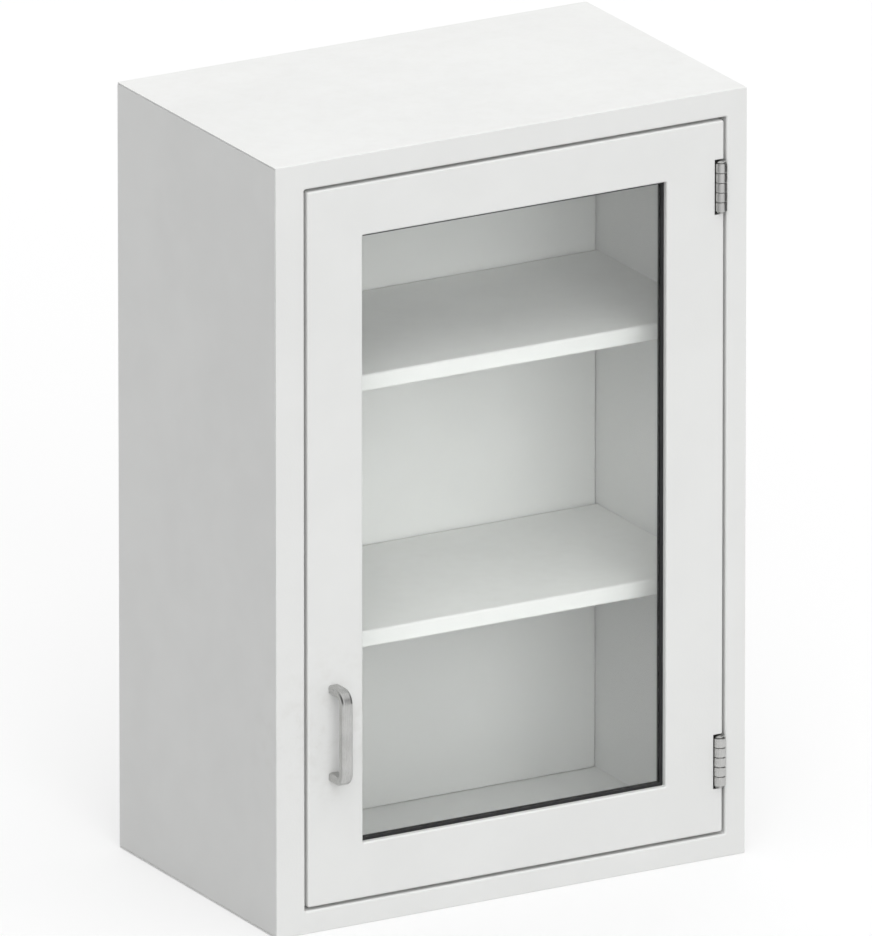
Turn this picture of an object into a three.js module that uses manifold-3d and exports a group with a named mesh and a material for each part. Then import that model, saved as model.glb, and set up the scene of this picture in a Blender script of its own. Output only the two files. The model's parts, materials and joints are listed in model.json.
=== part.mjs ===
// A clinic cabinet with a glazed door: a sheet steel carcass behind a face frame, an inset
// door on two five-knuckle hinges, a magnetic catch, and two loose shelves on welded rests.
// Millimetres, +Z up. The door faces -Y and hangs at +X. The origin is the middle of the underside.
import * as THREE from "three";
import { mergeVertices } from "three/addons/utils/BufferGeometryUtils.js";
import Module from "manifold-3d";

// Carcass
const CABINET_WIDTH = 508;
const CABINET_DEPTH = 305;
const CABINET_HEIGHT = 762;
const BODY_SHEET = 1.5;
const BACK_SHEET = 1.2;
const BACK_RECESS = 20; // from the rear edges to the back panel
const FIT_GAP = 0.3; // between two separate pieces that meet

// Face frame, flush with the front of the door
const LATCH_STILE_WIDTH = 31;
const HINGE_STILE_WIDTH = 21.5;
const TOP_RAIL_HEIGHT = 26;
const BOTTOM_RAIL_HEIGHT = 22.5;
const STOP_LIP = 14; // reach of the door stop into the opening, except at the top
const STOP_CLEARANCE = 4; // from the back of the door to the stop

// Hanging rails in the recess behind the back panel
const HANGING_RAIL_HEIGHT = 60;
const HANGING_RAIL_SHEET = 2;
const HANGING_RAIL_INSET = 14; // from the edge of the back panel
const HANGING_HOLE_RADIUS = 4.5;
const HANGING_HOLE_SPACING = 406.4;

// Door
const DOOR_GAP = 3;
const DOOR_THICKNESS = 20;
const DOOR_SHEET = 1.2;
const DOOR_LATCH_STILE = 59.5;
const DOOR_HINGE_STILE = 62;
const DOOR_TOP_RAIL = 51.5;
const DOOR_BOTTOM_RAIL = 55;
const DOOR_PAN_FLANGE = 6; // depth of the back pan's rim inside the skin
const WINDOW_REVEAL = 6; // depth of the skin's return round the window

// Glazing
const GLASS_THICKNESS = 5;
const GLASS_BITE = 8; // glass held behind the window's edge
const GASKET_LIP = 1.5;
const GASKET_WALL = 1.5;
const GASKET_BEAD = 3; // gasket seen inside the window's edge
const GLASS_STOP_SHEET = 1.2;
const GLASS_STOP_FLANGE = 12;
const GLASS_STOP_SCREW_END = 80; // from the end of the window's edge
const GLASS_STOP_SCREW = { headRadius: 3.2, headHeight: 1.8, shankRadius: 1.5, shankLength: 6 };

// Pull, a bent bar on the latch stile
const PULL_CENTRES = 87;
const PULL_PROJECTION = 27;
const PULL_BAR_WIDTH = 11.5;
const PULL_BAR_THICKNESS = 8.5;
const PULL_BEND_RADIUS = 14;
const PULL_EDGE_ROUND = 1.5;
const PULL_INSET = 28; // from the door's latch edge
const PULL_RISE = 170; // from the door's lower edge
const PULL_PLATE_WIDTH = 24;
const PULL_PLATE_THICKNESS = 2;
const PULL_PLATE_OVERHANG = 12; // past each screw
const PULL_SCREW_GRIP = 10; // thread held in the bar
const PULL_SCREW_HEAD = { headRadius: 4, headHeight: 3, shankRadius: 2 };

// Hinges
const KNUCKLE_COUNT = 5;
const KNUCKLE_LENGTH = 9.2;
const KNUCKLE_GAP = 0.4;
const BARREL_RADIUS = 6;
const PIN_RADIUS = 3.4;
const PIN_CLEARANCE = 0.3;
const PIN_TIP_RADIUS = 5;
const PIN_TIP_HEIGHT = 2;
const PIN_TIP_CHAMFER = 1.2;
const LEAF_SHEET = 1.4;
const LEAF_CLEARANCE = 0.6; // round a knuckle that turns past a leaf
const NOTCH_CLEARANCE = 0.8; // round the barrel in the door's edge
const UPPER_HINGE_DROP = 65; // from the door's upper edge
const LOWER_HINGE_RISE = 71; // from the door's lower edge

// Door bumpers
const BUMPER_RADIUS = 4;
const BUMPER_CHAMFER = 1.2;
const BUMPER_END_DISTANCE = 60; // from the door's upper and lower edges

// Magnetic catch in the top rail's stop lip
const CATCH_INSET = 75; // from the door's latch edge
const CATCH_LENGTH = 30;
const CATCH_DEPTH = 12; // behind the stop lip
const CATCH_WALL = 1.2;
const CATCH_BEZEL = 1;
const CATCH_BEZEL_EDGE = 1.6; // bezel past the cut-out
const CATCH_LIP_MARGIN = 0.6; // stop lip above and below the bezel
const CATCH_BARB = 1; // snap barb past the cut-out
const CATCH_BARB_LENGTH = 3;
const MAGNET_THICKNESS = 3;
const MAGNET_SETBACK = 1.5; // from the pole plates' ends
const POLE_THICKNESS = 1.2;
const STRIKE_SHEET = 1.2;
const STRIKE_LENGTH = 34;
const STRIKE_HEIGHT = 25;
const STRIKE_EDGE = 1; // from the door's upper edge
const STRIKE_SCREW_EDGE = 5.5; // from the strike's lower edge
const STRIKE_SCREW = { headRadius: 3.2, headHeight: 1.4, shankRadius: 1.5, shankLength: 6 };

// Shelves
const LOWER_SHELF_TOP = 268; // above the underside of the cabinet
const SHELF_SPACING = 254; // from one shelf to the next
const SHELF_SHEET = 1.2;
const SHELF_SETBACK = 60; // from the front of the cabinet
const SHELF_REAR_CLEARANCE = 2;
const SHELF_END_CLEARANCE = 1;
const SHELF_LIP = 17;
const SHELF_LIP_RETURN = 12;

// Shelf rests, angles welded to the side walls under the ends of the shelves
const REST_SHEET = 1.5;
const REST_WIDTH = 30;
const REST_REACH = 16;
const REST_DROP = 14;
const REST_CLEARANCE = 5; // from the shelf's folded lips

// Screw heads, and facets of round pieces
const HEAD_CHAMFER = 0.7;
const HOLE_SIDES = 16;
const SCREW_SIDES = 12;
const BARREL_SIDES = 24;
const BEND_SEGMENTS = 4;
const EDGE_SEGMENTS = 2;
const CUT_MARGIN = 1; // a cutting shape reaches this far past what it cuts

// Planes and outlines that the pieces share
const LEFT = -CABINET_WIDTH / 2;
const RIGHT = CABINET_WIDTH / 2;
const FRONT = -CABINET_DEPTH / 2;
const REAR = CABINET_DEPTH / 2;
const FRAME_BACK = FRONT + BODY_SHEET;
const DOOR_BACK = FRONT + DOOR_THICKNESS;
const STOP_FRONT = DOOR_BACK + STOP_CLEARANCE;
const STOP_BACK = STOP_FRONT + BODY_SHEET;
const BACK_PANEL_REAR = REAR - BACK_RECESS;
const BACK_PANEL_FRONT = BACK_PANEL_REAR - BACK_SHEET;
const SHELF_FRONT = FRONT + SHELF_SETBACK;
const SHELF_REAR = BACK_PANEL_FRONT - SHELF_REAR_CLEARANCE;
const INSIDE = {
  x0: LEFT + BODY_SHEET,
  x1: RIGHT - BODY_SHEET,
  z0: BODY_SHEET,
  z1: CABINET_HEIGHT - BODY_SHEET,
};
const OPENING = {
  x0: LEFT + LATCH_STILE_WIDTH,
  x1: RIGHT - HINGE_STILE_WIDTH,
  z0: BOTTOM_RAIL_HEIGHT,
  z1: CABINET_HEIGHT - TOP_RAIL_HEIGHT,
};
const DOOR = inset(OPENING, DOOR_GAP);
const WINDOW = {
  x0: DOOR.x0 + DOOR_LATCH_STILE,
  x1: DOOR.x1 - DOOR_HINGE_STILE,
  z0: DOOR.z0 + DOOR_BOTTOM_RAIL,
  z1: DOOR.z1 - DOOR_TOP_RAIL,
};

// Depths and reaches of the glazing, from the front of the door inwards and from the window outwards
const GASKET_FRONT = FRONT + WINDOW_REVEAL + FIT_GAP;
const GLASS_FRONT = GASKET_FRONT + GASKET_LIP + FIT_GAP;
const GLASS_BACK = GLASS_FRONT + GLASS_THICKNESS;
const GASKET_BACK = GLASS_BACK + FIT_GAP + GASKET_LIP;
const GASKET_REACH = GLASS_BITE + FIT_GAP + GASKET_WALL;
const POCKET_REACH = GASKET_REACH + FIT_GAP;
const GLASS_STOP_SCREW_REACH = POCKET_REACH + GLASS_STOP_FLANGE / 2;

// The four glass stops: the length of the window's edge and the turn about Y that faces it outwards
const WINDOW_WIDTH = WINDOW.x1 - WINDOW.x0;
const WINDOW_HEIGHT = WINDOW.z1 - WINDOW.z0;
const WINDOW_X = (WINDOW.x0 + WINDOW.x1) / 2;
const WINDOW_Z = (WINDOW.z0 + WINDOW.z1) / 2;
const GLASS_STOPS = [
  { name: "top", length: WINDOW_WIDTH, x: WINDOW_X, z: WINDOW.z1, turn: 0 },
  { name: "hinge", length: WINDOW_HEIGHT, x: WINDOW.x1, z: WINDOW_Z, turn: Math.PI / 2 },
  { name: "bottom", length: WINDOW_WIDTH, x: WINDOW_X, z: WINDOW.z0, turn: Math.PI },
  { name: "latch", length: WINDOW_HEIGHT, x: WINDOW.x0, z: WINDOW_Z, turn: -Math.PI / 2 },
];

// The magnetic catch: poles and magnet stacked in a pocket, its bezel on the top rail's stop lip
const STRIKE_BACK = DOOR_BACK + FIT_GAP + STRIKE_SHEET;
const STRIKE_TOP = DOOR.z1 - STRIKE_EDGE;
const STRIKE_SCREW_Z = STRIKE_TOP - STRIKE_HEIGHT + STRIKE_SCREW_EDGE;
const POLE_FRONT = STRIKE_BACK + FIT_GAP;
const CATCH_BACK = STOP_BACK + CATCH_DEPTH;
const CATCH_STACK = 2 * POLE_THICKNESS + MAGNET_THICKNESS + 2 * FIT_GAP;
const CATCH_POCKET = { length: CATCH_LENGTH - 2 * CATCH_WALL, height: CATCH_STACK + 2 * FIT_GAP };
const CATCH_HEIGHT = CATCH_POCKET.height + 2 * CATCH_WALL;
const TOP_STOP_LIP = CATCH_HEIGHT + 2 * (FIT_GAP + CATCH_BEZEL_EDGE + CATCH_LIP_MARGIN);
const CATCH_X = DOOR.x0 + CATCH_INSET;
const CATCH_Z = OPENING.z1 - TOP_STOP_LIP / 2;

// Hinge axis, barrel against the hinge stile's return
const HINGE_X = OPENING.x1 - FIT_GAP - BARREL_RADIUS;
const BARREL_LENGTH = KNUCKLE_COUNT * KNUCKLE_LENGTH + (KNUCKLE_COUNT - 1) * KNUCKLE_GAP;
const BORE_RADIUS = PIN_RADIUS + PIN_CLEARANCE;
const HINGE_HEIGHTS = { upper: DOOR.z1 - UPPER_HINGE_DROP, lower: DOOR.z0 + LOWER_HINGE_RISE };

// Shelves, and how far the middle of a rest lies from a shelf's front or rear edge
const SHELF_TOPS = { upper: LOWER_SHELF_TOP + SHELF_SPACING, lower: LOWER_SHELF_TOP };
const REST_SETBACK = SHELF_LIP_RETURN + REST_CLEARANCE + REST_WIDTH / 2;

// The four rests under a shelf, by side and by front or rear: where the wall stands and which way it faces
const REST_PLACES = [
  { name: "left_front", x: INSIDE.x0 + FIT_GAP, y: SHELF_FRONT + REST_SETBACK, turn: 0 },
  { name: "left_rear", x: INSIDE.x0 + FIT_GAP, y: SHELF_REAR - REST_SETBACK, turn: 0 },
  { name: "right_front", x: INSIDE.x1 - FIT_GAP, y: SHELF_FRONT + REST_SETBACK, turn: Math.PI },
  { name: "right_rear", x: INSIDE.x1 - FIT_GAP, y: SHELF_REAR - REST_SETBACK, turn: Math.PI },
];

// Finishes
const PAINT = finish(0xe9ebea, 0.45, 0);
const INNER_PAINT = finish(0xe3e6e5, 0.5, 0);
const ZINC = finish(0xb4b8ba, 0.4, 0.9);
const SATIN_STEEL = finish(0xc6c8c9, 0.3, 1);
const SCREW_STEEL = finish(0xa9abac, 0.35, 1);
const GLASS = finish(0xd7e6e2, 0.05, 0);
const RUBBER = finish(0x1b1c1d, 0.8, 0);
const CATCH_PLASTIC = finish(0xdedfdc, 0.5, 0);
const FERRITE = finish(0x3a3a3c, 0.7, 0.2);

const wasm = await Module();
wasm.setup();

function finish(color, roughness, metalness) {
  return new THREE.MeshStandardMaterial({ color, roughness, metalness });
}

function inset(rect, margin) {
  return { x0: rect.x0 + margin, x1: rect.x1 - margin, z0: rect.z0 + margin, z1: rect.z1 - margin };
}

function grow(rect, margin) {
  return inset(rect, -margin);
}

// A closed three.js geometry as a solid that can be joined and cut
function toSolid(geometry) {
  const bare = geometry.clone();
  bare.deleteAttribute("normal");
  bare.deleteAttribute("uv");
  const merged = mergeVertices(bare);
  const vertProperties = merged.attributes.position.array;
  const triVerts = new Uint32Array(merged.index.array);
  return new wasm.Manifold(new wasm.Mesh({ numProp: 3, vertProperties, triVerts }));
}

function toGeometry(solid) {
  const { vertProperties, triVerts } = solid.getMesh();
  const geometry = new THREE.BufferGeometry();
  geometry.setAttribute("position", new THREE.BufferAttribute(vertProperties, 3));
  geometry.setIndex(new THREE.BufferAttribute(triVerts, 1));
  geometry.computeVertexNormals();
  return geometry;
}

function join(first, ...others) {
  return toGeometry(others.reduce((sum, other) => sum.add(toSolid(other)), toSolid(first)));
}

function cut(base, ...tools) {
  return toGeometry(tools.reduce((rest, tool) => rest.subtract(toSolid(tool)), toSolid(base)));
}

// A box between two limits on each axis, given in either order
function block(xs, ys, zs) {
  const sizes = [xs, ys, zs].map(([a, b]) => Math.abs(b - a));
  const middles = [xs, ys, zs].map(([a, b]) => (a + b) / 2);
  return new THREE.BoxGeometry(...sizes).translate(...middles);
}

function corners(rect) {
  return [
    new THREE.Vector2(rect.x0, rect.z0),
    new THREE.Vector2(rect.x1, rect.z0),
    new THREE.Vector2(rect.x1, rect.z1),
    new THREE.Vector2(rect.x0, rect.z1),
  ];
}

// An upright plate of an X-Z outline between two depths, with a rectangular hole where one is given
function plate(rect, yFront, yBack, hole) {
  const outline = new THREE.Shape(corners(rect));
  if (hole) outline.holes.push(new THREE.Path(corners(hole)));
  const geometry = new THREE.ExtrudeGeometry(outline, { depth: yBack - yFront, bevelEnabled: false });
  return geometry.rotateX(Math.PI / 2).translate(0, yBack, 0);
}

// A round hole along Y
function drill(x, z, radius, yFront, yBack) {
  const length = yBack - yFront + 2 * CUT_MARGIN;
  const hole = new THREE.CylinderGeometry(radius, radius, length, HOLE_SIDES);
  return hole.translate(x, (yFront + yBack) / 2, z);
}

// The section of a sheet folded square along a path: the path, then back one thickness to its left
function foldedSheet(path, thickness) {
  const points = path.map(([x, y]) => new THREE.Vector2(x, y));
  const normals = points.slice(1).map((point, i) => {
    const run = point.clone().sub(points[i]).normalize();
    return new THREE.Vector2(-run.y, run.x);
  });
  const inner = points.map((point, i) => {
    const shift = new THREE.Vector2();
    if (i > 0) shift.add(normals[i - 1]);
    if (i < normals.length) shift.add(normals[i]);
    return point.clone().addScaledVector(shift, thickness);
  });
  return new THREE.Shape([...points, ...inner.reverse()]);
}

// A Y-Z section carried along X
function alongX(section, x0, x1) {
  const geometry = new THREE.ExtrudeGeometry(section, { depth: x1 - x0, bevelEnabled: false });
  const axes = new THREE.Matrix4().makeBasis(
    new THREE.Vector3(0, 1, 0),
    new THREE.Vector3(0, 0, 1),
    new THREE.Vector3(1, 0, 0),
  );
  return geometry.applyMatrix4(axes).translate(x0, 0, 0);
}

// A screw along Y with its head behind y = 0 and its shank in front
function screwGeometry({ headRadius, headHeight, shankRadius, shankLength }) {
  const profile = [
    new THREE.Vector2(0, -shankLength),
    new THREE.Vector2(shankRadius, -shankLength),
    new THREE.Vector2(shankRadius, 0),
    new THREE.Vector2(headRadius, 0),
    new THREE.Vector2(headRadius, headHeight - HEAD_CHAMFER),
    new THREE.Vector2(headRadius - HEAD_CHAMFER, headHeight),
    new THREE.Vector2(0, headHeight),
  ];
  return new THREE.LatheGeometry(profile, SCREW_SIDES);
}

function named(name, geometry, material) {
  const mesh = new THREE.Mesh(geometry, material);
  mesh.name = name;
  return mesh;
}

function placed(mesh, x, y, z) {
  mesh.position.set(x, y, z);
  return mesh;
}

// Carcass

function sidePanel(outerX, innerX) {
  const ceiling = CABINET_HEIGHT - BODY_SHEET;
  return block([outerX, innerX], [FRAME_BACK + FIT_GAP, REAR], [BODY_SHEET + FIT_GAP, ceiling - FIT_GAP]);
}

function capPanel(lowZ, highZ) {
  return block([LEFT, RIGHT], [FRAME_BACK + FIT_GAP, REAR], [lowZ, highZ]);
}

function hangingHoles(yFront, yBack) {
  const z = hangingRailZ("upper") + HANGING_RAIL_HEIGHT / 2;
  const reach = HANGING_HOLE_SPACING / 2;
  return [-reach, reach].map((x) => drill(x, z, HANGING_HOLE_RADIUS, yFront, yBack));
}

function backPanel() {
  const rim = inset(INSIDE, FIT_GAP);
  const face = plate(rim, BACK_PANEL_FRONT, BACK_PANEL_REAR);
  const flange = plate(rim, BACK_PANEL_FRONT, REAR, inset(rim, BACK_SHEET));
  return cut(join(face, flange), ...hangingHoles(BACK_PANEL_FRONT, BACK_PANEL_REAR));
}

// Lower edge of a hanging rail
function hangingRailZ(level) {
  const rim = inset(INSIDE, FIT_GAP + BACK_SHEET + HANGING_RAIL_INSET);
  return level === "upper" ? rim.z1 - HANGING_RAIL_HEIGHT : rim.z0;
}

function hangingRail(level) {
  const ends = inset(INSIDE, FIT_GAP + BACK_SHEET + FIT_GAP);
  const z0 = hangingRailZ(level);
  const z1 = z0 + HANGING_RAIL_HEIGHT;
  const yFront = BACK_PANEL_REAR + FIT_GAP;
  const section = foldedSheet([[yFront, z0], [REAR, z0], [REAR, z1], [yFront, z1]], HANGING_RAIL_SHEET);
  const rail = alongX(section, ends.x0, ends.x1);
  return level === "upper" ? cut(rail, ...hangingHoles(REAR - HANGING_RAIL_SHEET, REAR)) : rail;
}

// Face frame

function frameStile(outerX, openingX) {
  const inward = Math.sign(openingX - outerX);
  const returnX = openingX - inward * BODY_SHEET;
  const face = block([outerX, openingX], [FRONT, FRAME_BACK], [0, CABINET_HEIGHT]);
  const turned = block([returnX, openingX], [FRONT, STOP_BACK], [INSIDE.z0 + FIT_GAP, INSIDE.z1 - FIT_GAP]);
  const lipEnd = openingX + inward * STOP_LIP;
  const lip = block([returnX, lipEnd], [STOP_FRONT, STOP_BACK], [OPENING.z0 + FIT_GAP, OPENING.z1 - FIT_GAP]);
  return join(face, turned, lip);
}

function frameRail(outerZ, openingZ, lipReach) {
  const inward = Math.sign(openingZ - outerZ);
  const returnZ = openingZ - inward * BODY_SHEET;
  const span = [OPENING.x0 + FIT_GAP, OPENING.x1 - FIT_GAP];
  const lipSpan = [OPENING.x0 + STOP_LIP + FIT_GAP, OPENING.x1 - STOP_LIP - FIT_GAP];
  const face = block(span, [FRONT, FRAME_BACK], [outerZ, openingZ]);
  const turned = block(span, [FRONT, STOP_BACK], [returnZ, openingZ]);
  const lip = block(lipSpan, [STOP_FRONT, STOP_BACK], [returnZ, openingZ + inward * lipReach]);
  return join(face, turned, lip);
}

// Shelves and their rests

// A rest with the wall at x = 0, the cabinet's inside at +X and the top of its ledge at z = 0
function restGeometry() {
  const width = [-REST_WIDTH / 2, REST_WIDTH / 2];
  const leg = block([0, REST_SHEET], width, [-REST_DROP, 0]);
  const ledge = block([0, REST_REACH], width, [-REST_SHEET, 0]);
  return join(leg, ledge);
}

function shelfGeometry(top) {
  const bottom = top - SHELF_LIP;
  const path = [
    [SHELF_REAR - SHELF_LIP_RETURN, bottom],
    [SHELF_REAR, bottom],
    [SHELF_REAR, top],
    [SHELF_FRONT, top],
    [SHELF_FRONT, bottom],
    [SHELF_FRONT + SHELF_LIP_RETURN, bottom],
  ];
  const ends = inset(INSIDE, SHELF_END_CLEARANCE);
  return alongX(foldedSheet(path, SHELF_SHEET), ends.x0, ends.x1);
}

// Hinges, with the axis on the z axis and the middle of the barrel at z = 0

function knuckleStart(index) {
  return index * (KNUCKLE_LENGTH + KNUCKLE_GAP) - BARREL_LENGTH / 2;
}

function knuckle(index) {
  const ring = new THREE.Shape().absarc(0, 0, BARREL_RADIUS, 0, 2 * Math.PI);
  ring.holes.push(new THREE.Path().absarc(0, 0, BORE_RADIUS, 0, 2 * Math.PI));
  const options = { depth: KNUCKLE_LENGTH, bevelEnabled: false, curveSegments: BARREL_SIDES / 2 };
  return new THREE.ExtrudeGeometry(ring, options).translate(0, 0, knuckleStart(index));
}

// A leaf from its flat plate and every second knuckle, cleared where the other leaf's knuckles turn
function hingeLeaf(plateXs, plateYs, firstKnuckle) {
  const indexes = Array.from({ length: KNUCKLE_COUNT }, (unused, index) => index);
  const own = indexes.filter((index) => index % 2 === firstKnuckle);
  const other = indexes.filter((index) => index % 2 !== firstKnuckle);
  const flat = block(plateXs, plateYs, [-BARREL_LENGTH / 2, BARREL_LENGTH / 2]);
  const reach = BARREL_RADIUS + LEAF_CLEARANCE;
  const clearings = other.map((index) => {
    const z0 = knuckleStart(index) - KNUCKLE_GAP;
    return block([-reach, reach], [-reach, reach], [z0, z0 + KNUCKLE_LENGTH + 2 * KNUCKLE_GAP]);
  });
  return join(cut(flat, ...clearings), ...own.map(knuckle));
}

function frameLeaf() {
  const depth = DOOR_THICKNESS - DOOR_SHEET;
  return hingeLeaf([BARREL_RADIUS - LEAF_SHEET, BARREL_RADIUS], [0, depth], 0);
}

// The door's leaf lies inside the skin's edge, in front of the back pan's rim
function doorLeaf() {
  const outerFace = DOOR.x1 - HINGE_X - DOOR_SHEET - FIT_GAP;
  const wallMiddle = (BARREL_RADIUS + BORE_RADIUS) / 2;
  const depth = DOOR_THICKNESS - DOOR_PAN_FLANGE - FIT_GAP;
  return hingeLeaf([outerFace - LEAF_SHEET, outerFace], [wallMiddle, depth], 1);
}

function hingePin() {
  const end = BARREL_LENGTH / 2 + FIT_GAP;
  const tip = end + PIN_TIP_HEIGHT;
  const upperHalf = [
    new THREE.Vector2(PIN_RADIUS, end),
    new THREE.Vector2(PIN_TIP_RADIUS, end),
    new THREE.Vector2(PIN_TIP_RADIUS, tip - PIN_TIP_CHAMFER),
    new THREE.Vector2(PIN_TIP_RADIUS - PIN_TIP_CHAMFER, tip),
    new THREE.Vector2(0, tip),
  ];
  const lowerHalf = upperHalf.map(({ x, y }) => new THREE.Vector2(x, -y)).reverse();
  const profile = [...lowerHalf, ...upperHalf];
  return new THREE.LatheGeometry(profile, BARREL_SIDES).rotateX(Math.PI / 2);
}

// Door

function pullX() {
  return DOOR.x0 + PULL_INSET;
}

// Heights of the two pull screws
function pullScrewHeights() {
  const middle = DOOR.z0 + PULL_RISE;
  return { upper: middle + PULL_CENTRES / 2, lower: middle - PULL_CENTRES / 2 };
}

function pullScrewHoles(yFront, yBack) {
  const radius = PULL_SCREW_HEAD.shankRadius + FIT_GAP;
  return Object.values(pullScrewHeights()).map((z) => drill(pullX(), z, radius, yFront, yBack));
}

function doorSkin() {
  const face = plate(DOOR, FRONT, FRONT + DOOR_SHEET, WINDOW);
  const edge = plate(DOOR, FRONT, DOOR_BACK, inset(DOOR, DOOR_SHEET));
  const reveal = plate(grow(WINDOW, DOOR_SHEET), FRONT, FRONT + WINDOW_REVEAL, WINDOW);
  const reach = BARREL_RADIUS + NOTCH_CLEARANCE;
  const notchReach = BARREL_LENGTH / 2 + FIT_GAP + PIN_TIP_HEIGHT + NOTCH_CLEARANCE;
  const notches = Object.values(HINGE_HEIGHTS).map((z) => {
    const xs = [HINGE_X - reach, DOOR.x1 + CUT_MARGIN];
    return block(xs, [FRONT - reach, FRONT + reach], [z - notchReach, z + notchReach]);
  });
  return cut(join(face, edge, reveal), ...notches, ...pullScrewHoles(FRONT, FRONT + DOOR_SHEET));
}

function doorBackPan() {
  const rim = inset(DOOR, DOOR_SHEET + FIT_GAP);
  const pocket = grow(WINDOW, POCKET_REACH);
  const face = plate(rim, DOOR_BACK - DOOR_SHEET, DOOR_BACK, pocket);
  const edge = plate(rim, DOOR_BACK - DOOR_PAN_FLANGE, DOOR_BACK, inset(rim, DOOR_SHEET));
  const pocketWall = plate(grow(pocket, DOOR_SHEET), FRONT + DOOR_SHEET + FIT_GAP, DOOR_BACK, pocket);
  const stopRadius = GLASS_STOP_SCREW.shankRadius + FIT_GAP;
  const stopScrews = GLASS_STOPS.flatMap(stopScrewPoints);
  const stopHoles = stopScrews.map(({ x, z }) => drill(x, z, stopRadius, DOOR_BACK - DOOR_SHEET, DOOR_BACK));
  const strikeRadius = STRIKE_SCREW.shankRadius + FIT_GAP;
  const strikeHole = drill(CATCH_X, STRIKE_SCREW_Z, strikeRadius, DOOR_BACK - DOOR_SHEET, DOOR_BACK);
  return cut(join(face, edge, pocketWall), ...stopHoles, strikeHole);
}

function glazingGasket() {
  const outer = grow(WINDOW, GASKET_REACH);
  const sight = inset(WINDOW, GASKET_BEAD);
  const frontLip = plate(outer, GASKET_FRONT, GASKET_FRONT + GASKET_LIP, sight);
  const wall = plate(outer, GASKET_FRONT, GASKET_BACK, grow(WINDOW, GLASS_BITE + FIT_GAP));
  const rearLip = plate(outer, GASKET_BACK - GASKET_LIP, GASKET_BACK, sight);
  return join(frontLip, wall, rearLip);
}

// Where a glass stop's two screws lie along its run, from the middle
function stopScrewRuns(length) {
  const reach = length / 2 - GLASS_STOP_SCREW_END;
  return [-reach, reach];
}

function stopScrewPoints({ length, x, z, turn }) {
  const upright = new THREE.Vector3(0, 1, 0);
  return stopScrewRuns(length).map((run) => {
    const point = new THREE.Vector3(run, 0, GLASS_STOP_SCREW_REACH).applyAxisAngle(upright, turn);
    return { x: x + point.x, z: z + point.z };
  });
}

// A glass stop with its run on X and the way out from the window on +Z: a foot against the gasket,
// a wall down the pocket and a flange on the door's back, mitred at both ends
function glassStop(length) {
  const foot = GASKET_BACK + FIT_GAP;
  const flange = DOOR_BACK + FIT_GAP;
  const wall = POCKET_REACH - FIT_GAP;
  const path = [[foot, 0], [foot, wall], [flange, wall], [flange, POCKET_REACH + GLASS_STOP_FLANGE]];
  const strip = alongX(foldedSheet(path, -GLASS_STOP_SHEET), -length / 2, length / 2);
  const position = strip.attributes.position;
  for (let i = 0; i < position.count; i += 1) {
    const end = Math.sign(position.getX(i));
    position.setX(i, end * (length / 2 + position.getZ(i) - FIT_GAP));
  }
  const radius = GLASS_STOP_SCREW.shankRadius + FIT_GAP;
  const flangeBack = flange + GLASS_STOP_SHEET;
  const runs = stopScrewRuns(length);
  const holes = runs.map((run) => drill(run, GLASS_STOP_SCREW_REACH, radius, flange, flangeBack));
  return cut(strip, ...holes);
}

function pullGeometry() {
  const half = (PULL_CENTRES + PULL_BAR_THICKNESS) / 2;
  const inner = half - PULL_BAR_THICKNESS;
  const reach = PULL_PROJECTION - PULL_BAR_THICKNESS;
  const innerRadius = PULL_BEND_RADIUS - PULL_BAR_THICKNESS;
  const outerBend = half - PULL_BEND_RADIUS;
  const outline = new THREE.Shape();
  outline.moveTo(0, -half);
  outline.absarc(PULL_PROJECTION - PULL_BEND_RADIUS, -outerBend, PULL_BEND_RADIUS, -Math.PI / 2, 0);
  outline.absarc(PULL_PROJECTION - PULL_BEND_RADIUS, outerBend, PULL_BEND_RADIUS, 0, Math.PI / 2);
  outline.lineTo(0, half);
  outline.lineTo(0, inner);
  outline.absarc(reach - innerRadius, inner - innerRadius, innerRadius, Math.PI / 2, 0, true);
  outline.absarc(reach - innerRadius, innerRadius - inner, innerRadius, 0, -Math.PI / 2, true);
  outline.lineTo(0, -inner);
  outline.closePath();
  const bar = new THREE.ExtrudeGeometry(outline, {
    depth: PULL_BAR_WIDTH - 2 * PULL_EDGE_ROUND,
    bevelThickness: PULL_EDGE_ROUND,
    bevelSize: PULL_EDGE_ROUND,
    bevelOffset: -PULL_EDGE_ROUND,
    bevelSegments: EDGE_SEGMENTS,
    curveSegments: BEND_SEGMENTS,
  });
  const outwards = new THREE.Matrix4().makeBasis(
    new THREE.Vector3(0, -1, 0),
    new THREE.Vector3(0, 0, 1),
    new THREE.Vector3(-1, 0, 0),
  );
  bar.applyMatrix4(outwards).translate(PULL_BAR_WIDTH / 2 - PULL_EDGE_ROUND, 0, 0);
  bar.translate(pullX(), FRONT - FIT_GAP, DOOR.z0 + PULL_RISE);
  const holeEnd = FRONT - PULL_SCREW_GRIP - FIT_GAP + CUT_MARGIN;
  return cut(bar, ...pullScrewHoles(holeEnd, FRONT));
}

function pullPlate() {
  const heights = pullScrewHeights();
  const outline = {
    x0: pullX() - PULL_PLATE_WIDTH / 2,
    x1: pullX() + PULL_PLATE_WIDTH / 2,
    z0: heights.lower - PULL_PLATE_OVERHANG,
    z1: heights.upper + PULL_PLATE_OVERHANG,
  };
  const front = FRONT + DOOR_SHEET + FIT_GAP;
  const back = front + PULL_PLATE_THICKNESS;
  return cut(plate(outline, front, back), ...pullScrewHoles(front, back));
}

function bumperGeometry() {
  const height = STOP_CLEARANCE - 2 * FIT_GAP;
  const profile = [
    new THREE.Vector2(0, 0),
    new THREE.Vector2(BUMPER_RADIUS, 0),
    new THREE.Vector2(BUMPER_RADIUS, height - BUMPER_CHAMFER),
    new THREE.Vector2(BUMPER_RADIUS - BUMPER_CHAMFER, height),
    new THREE.Vector2(0, height),
  ];
  return new THREE.LatheGeometry(profile, HOLE_SIDES);
}

// Catch and strike

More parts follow.
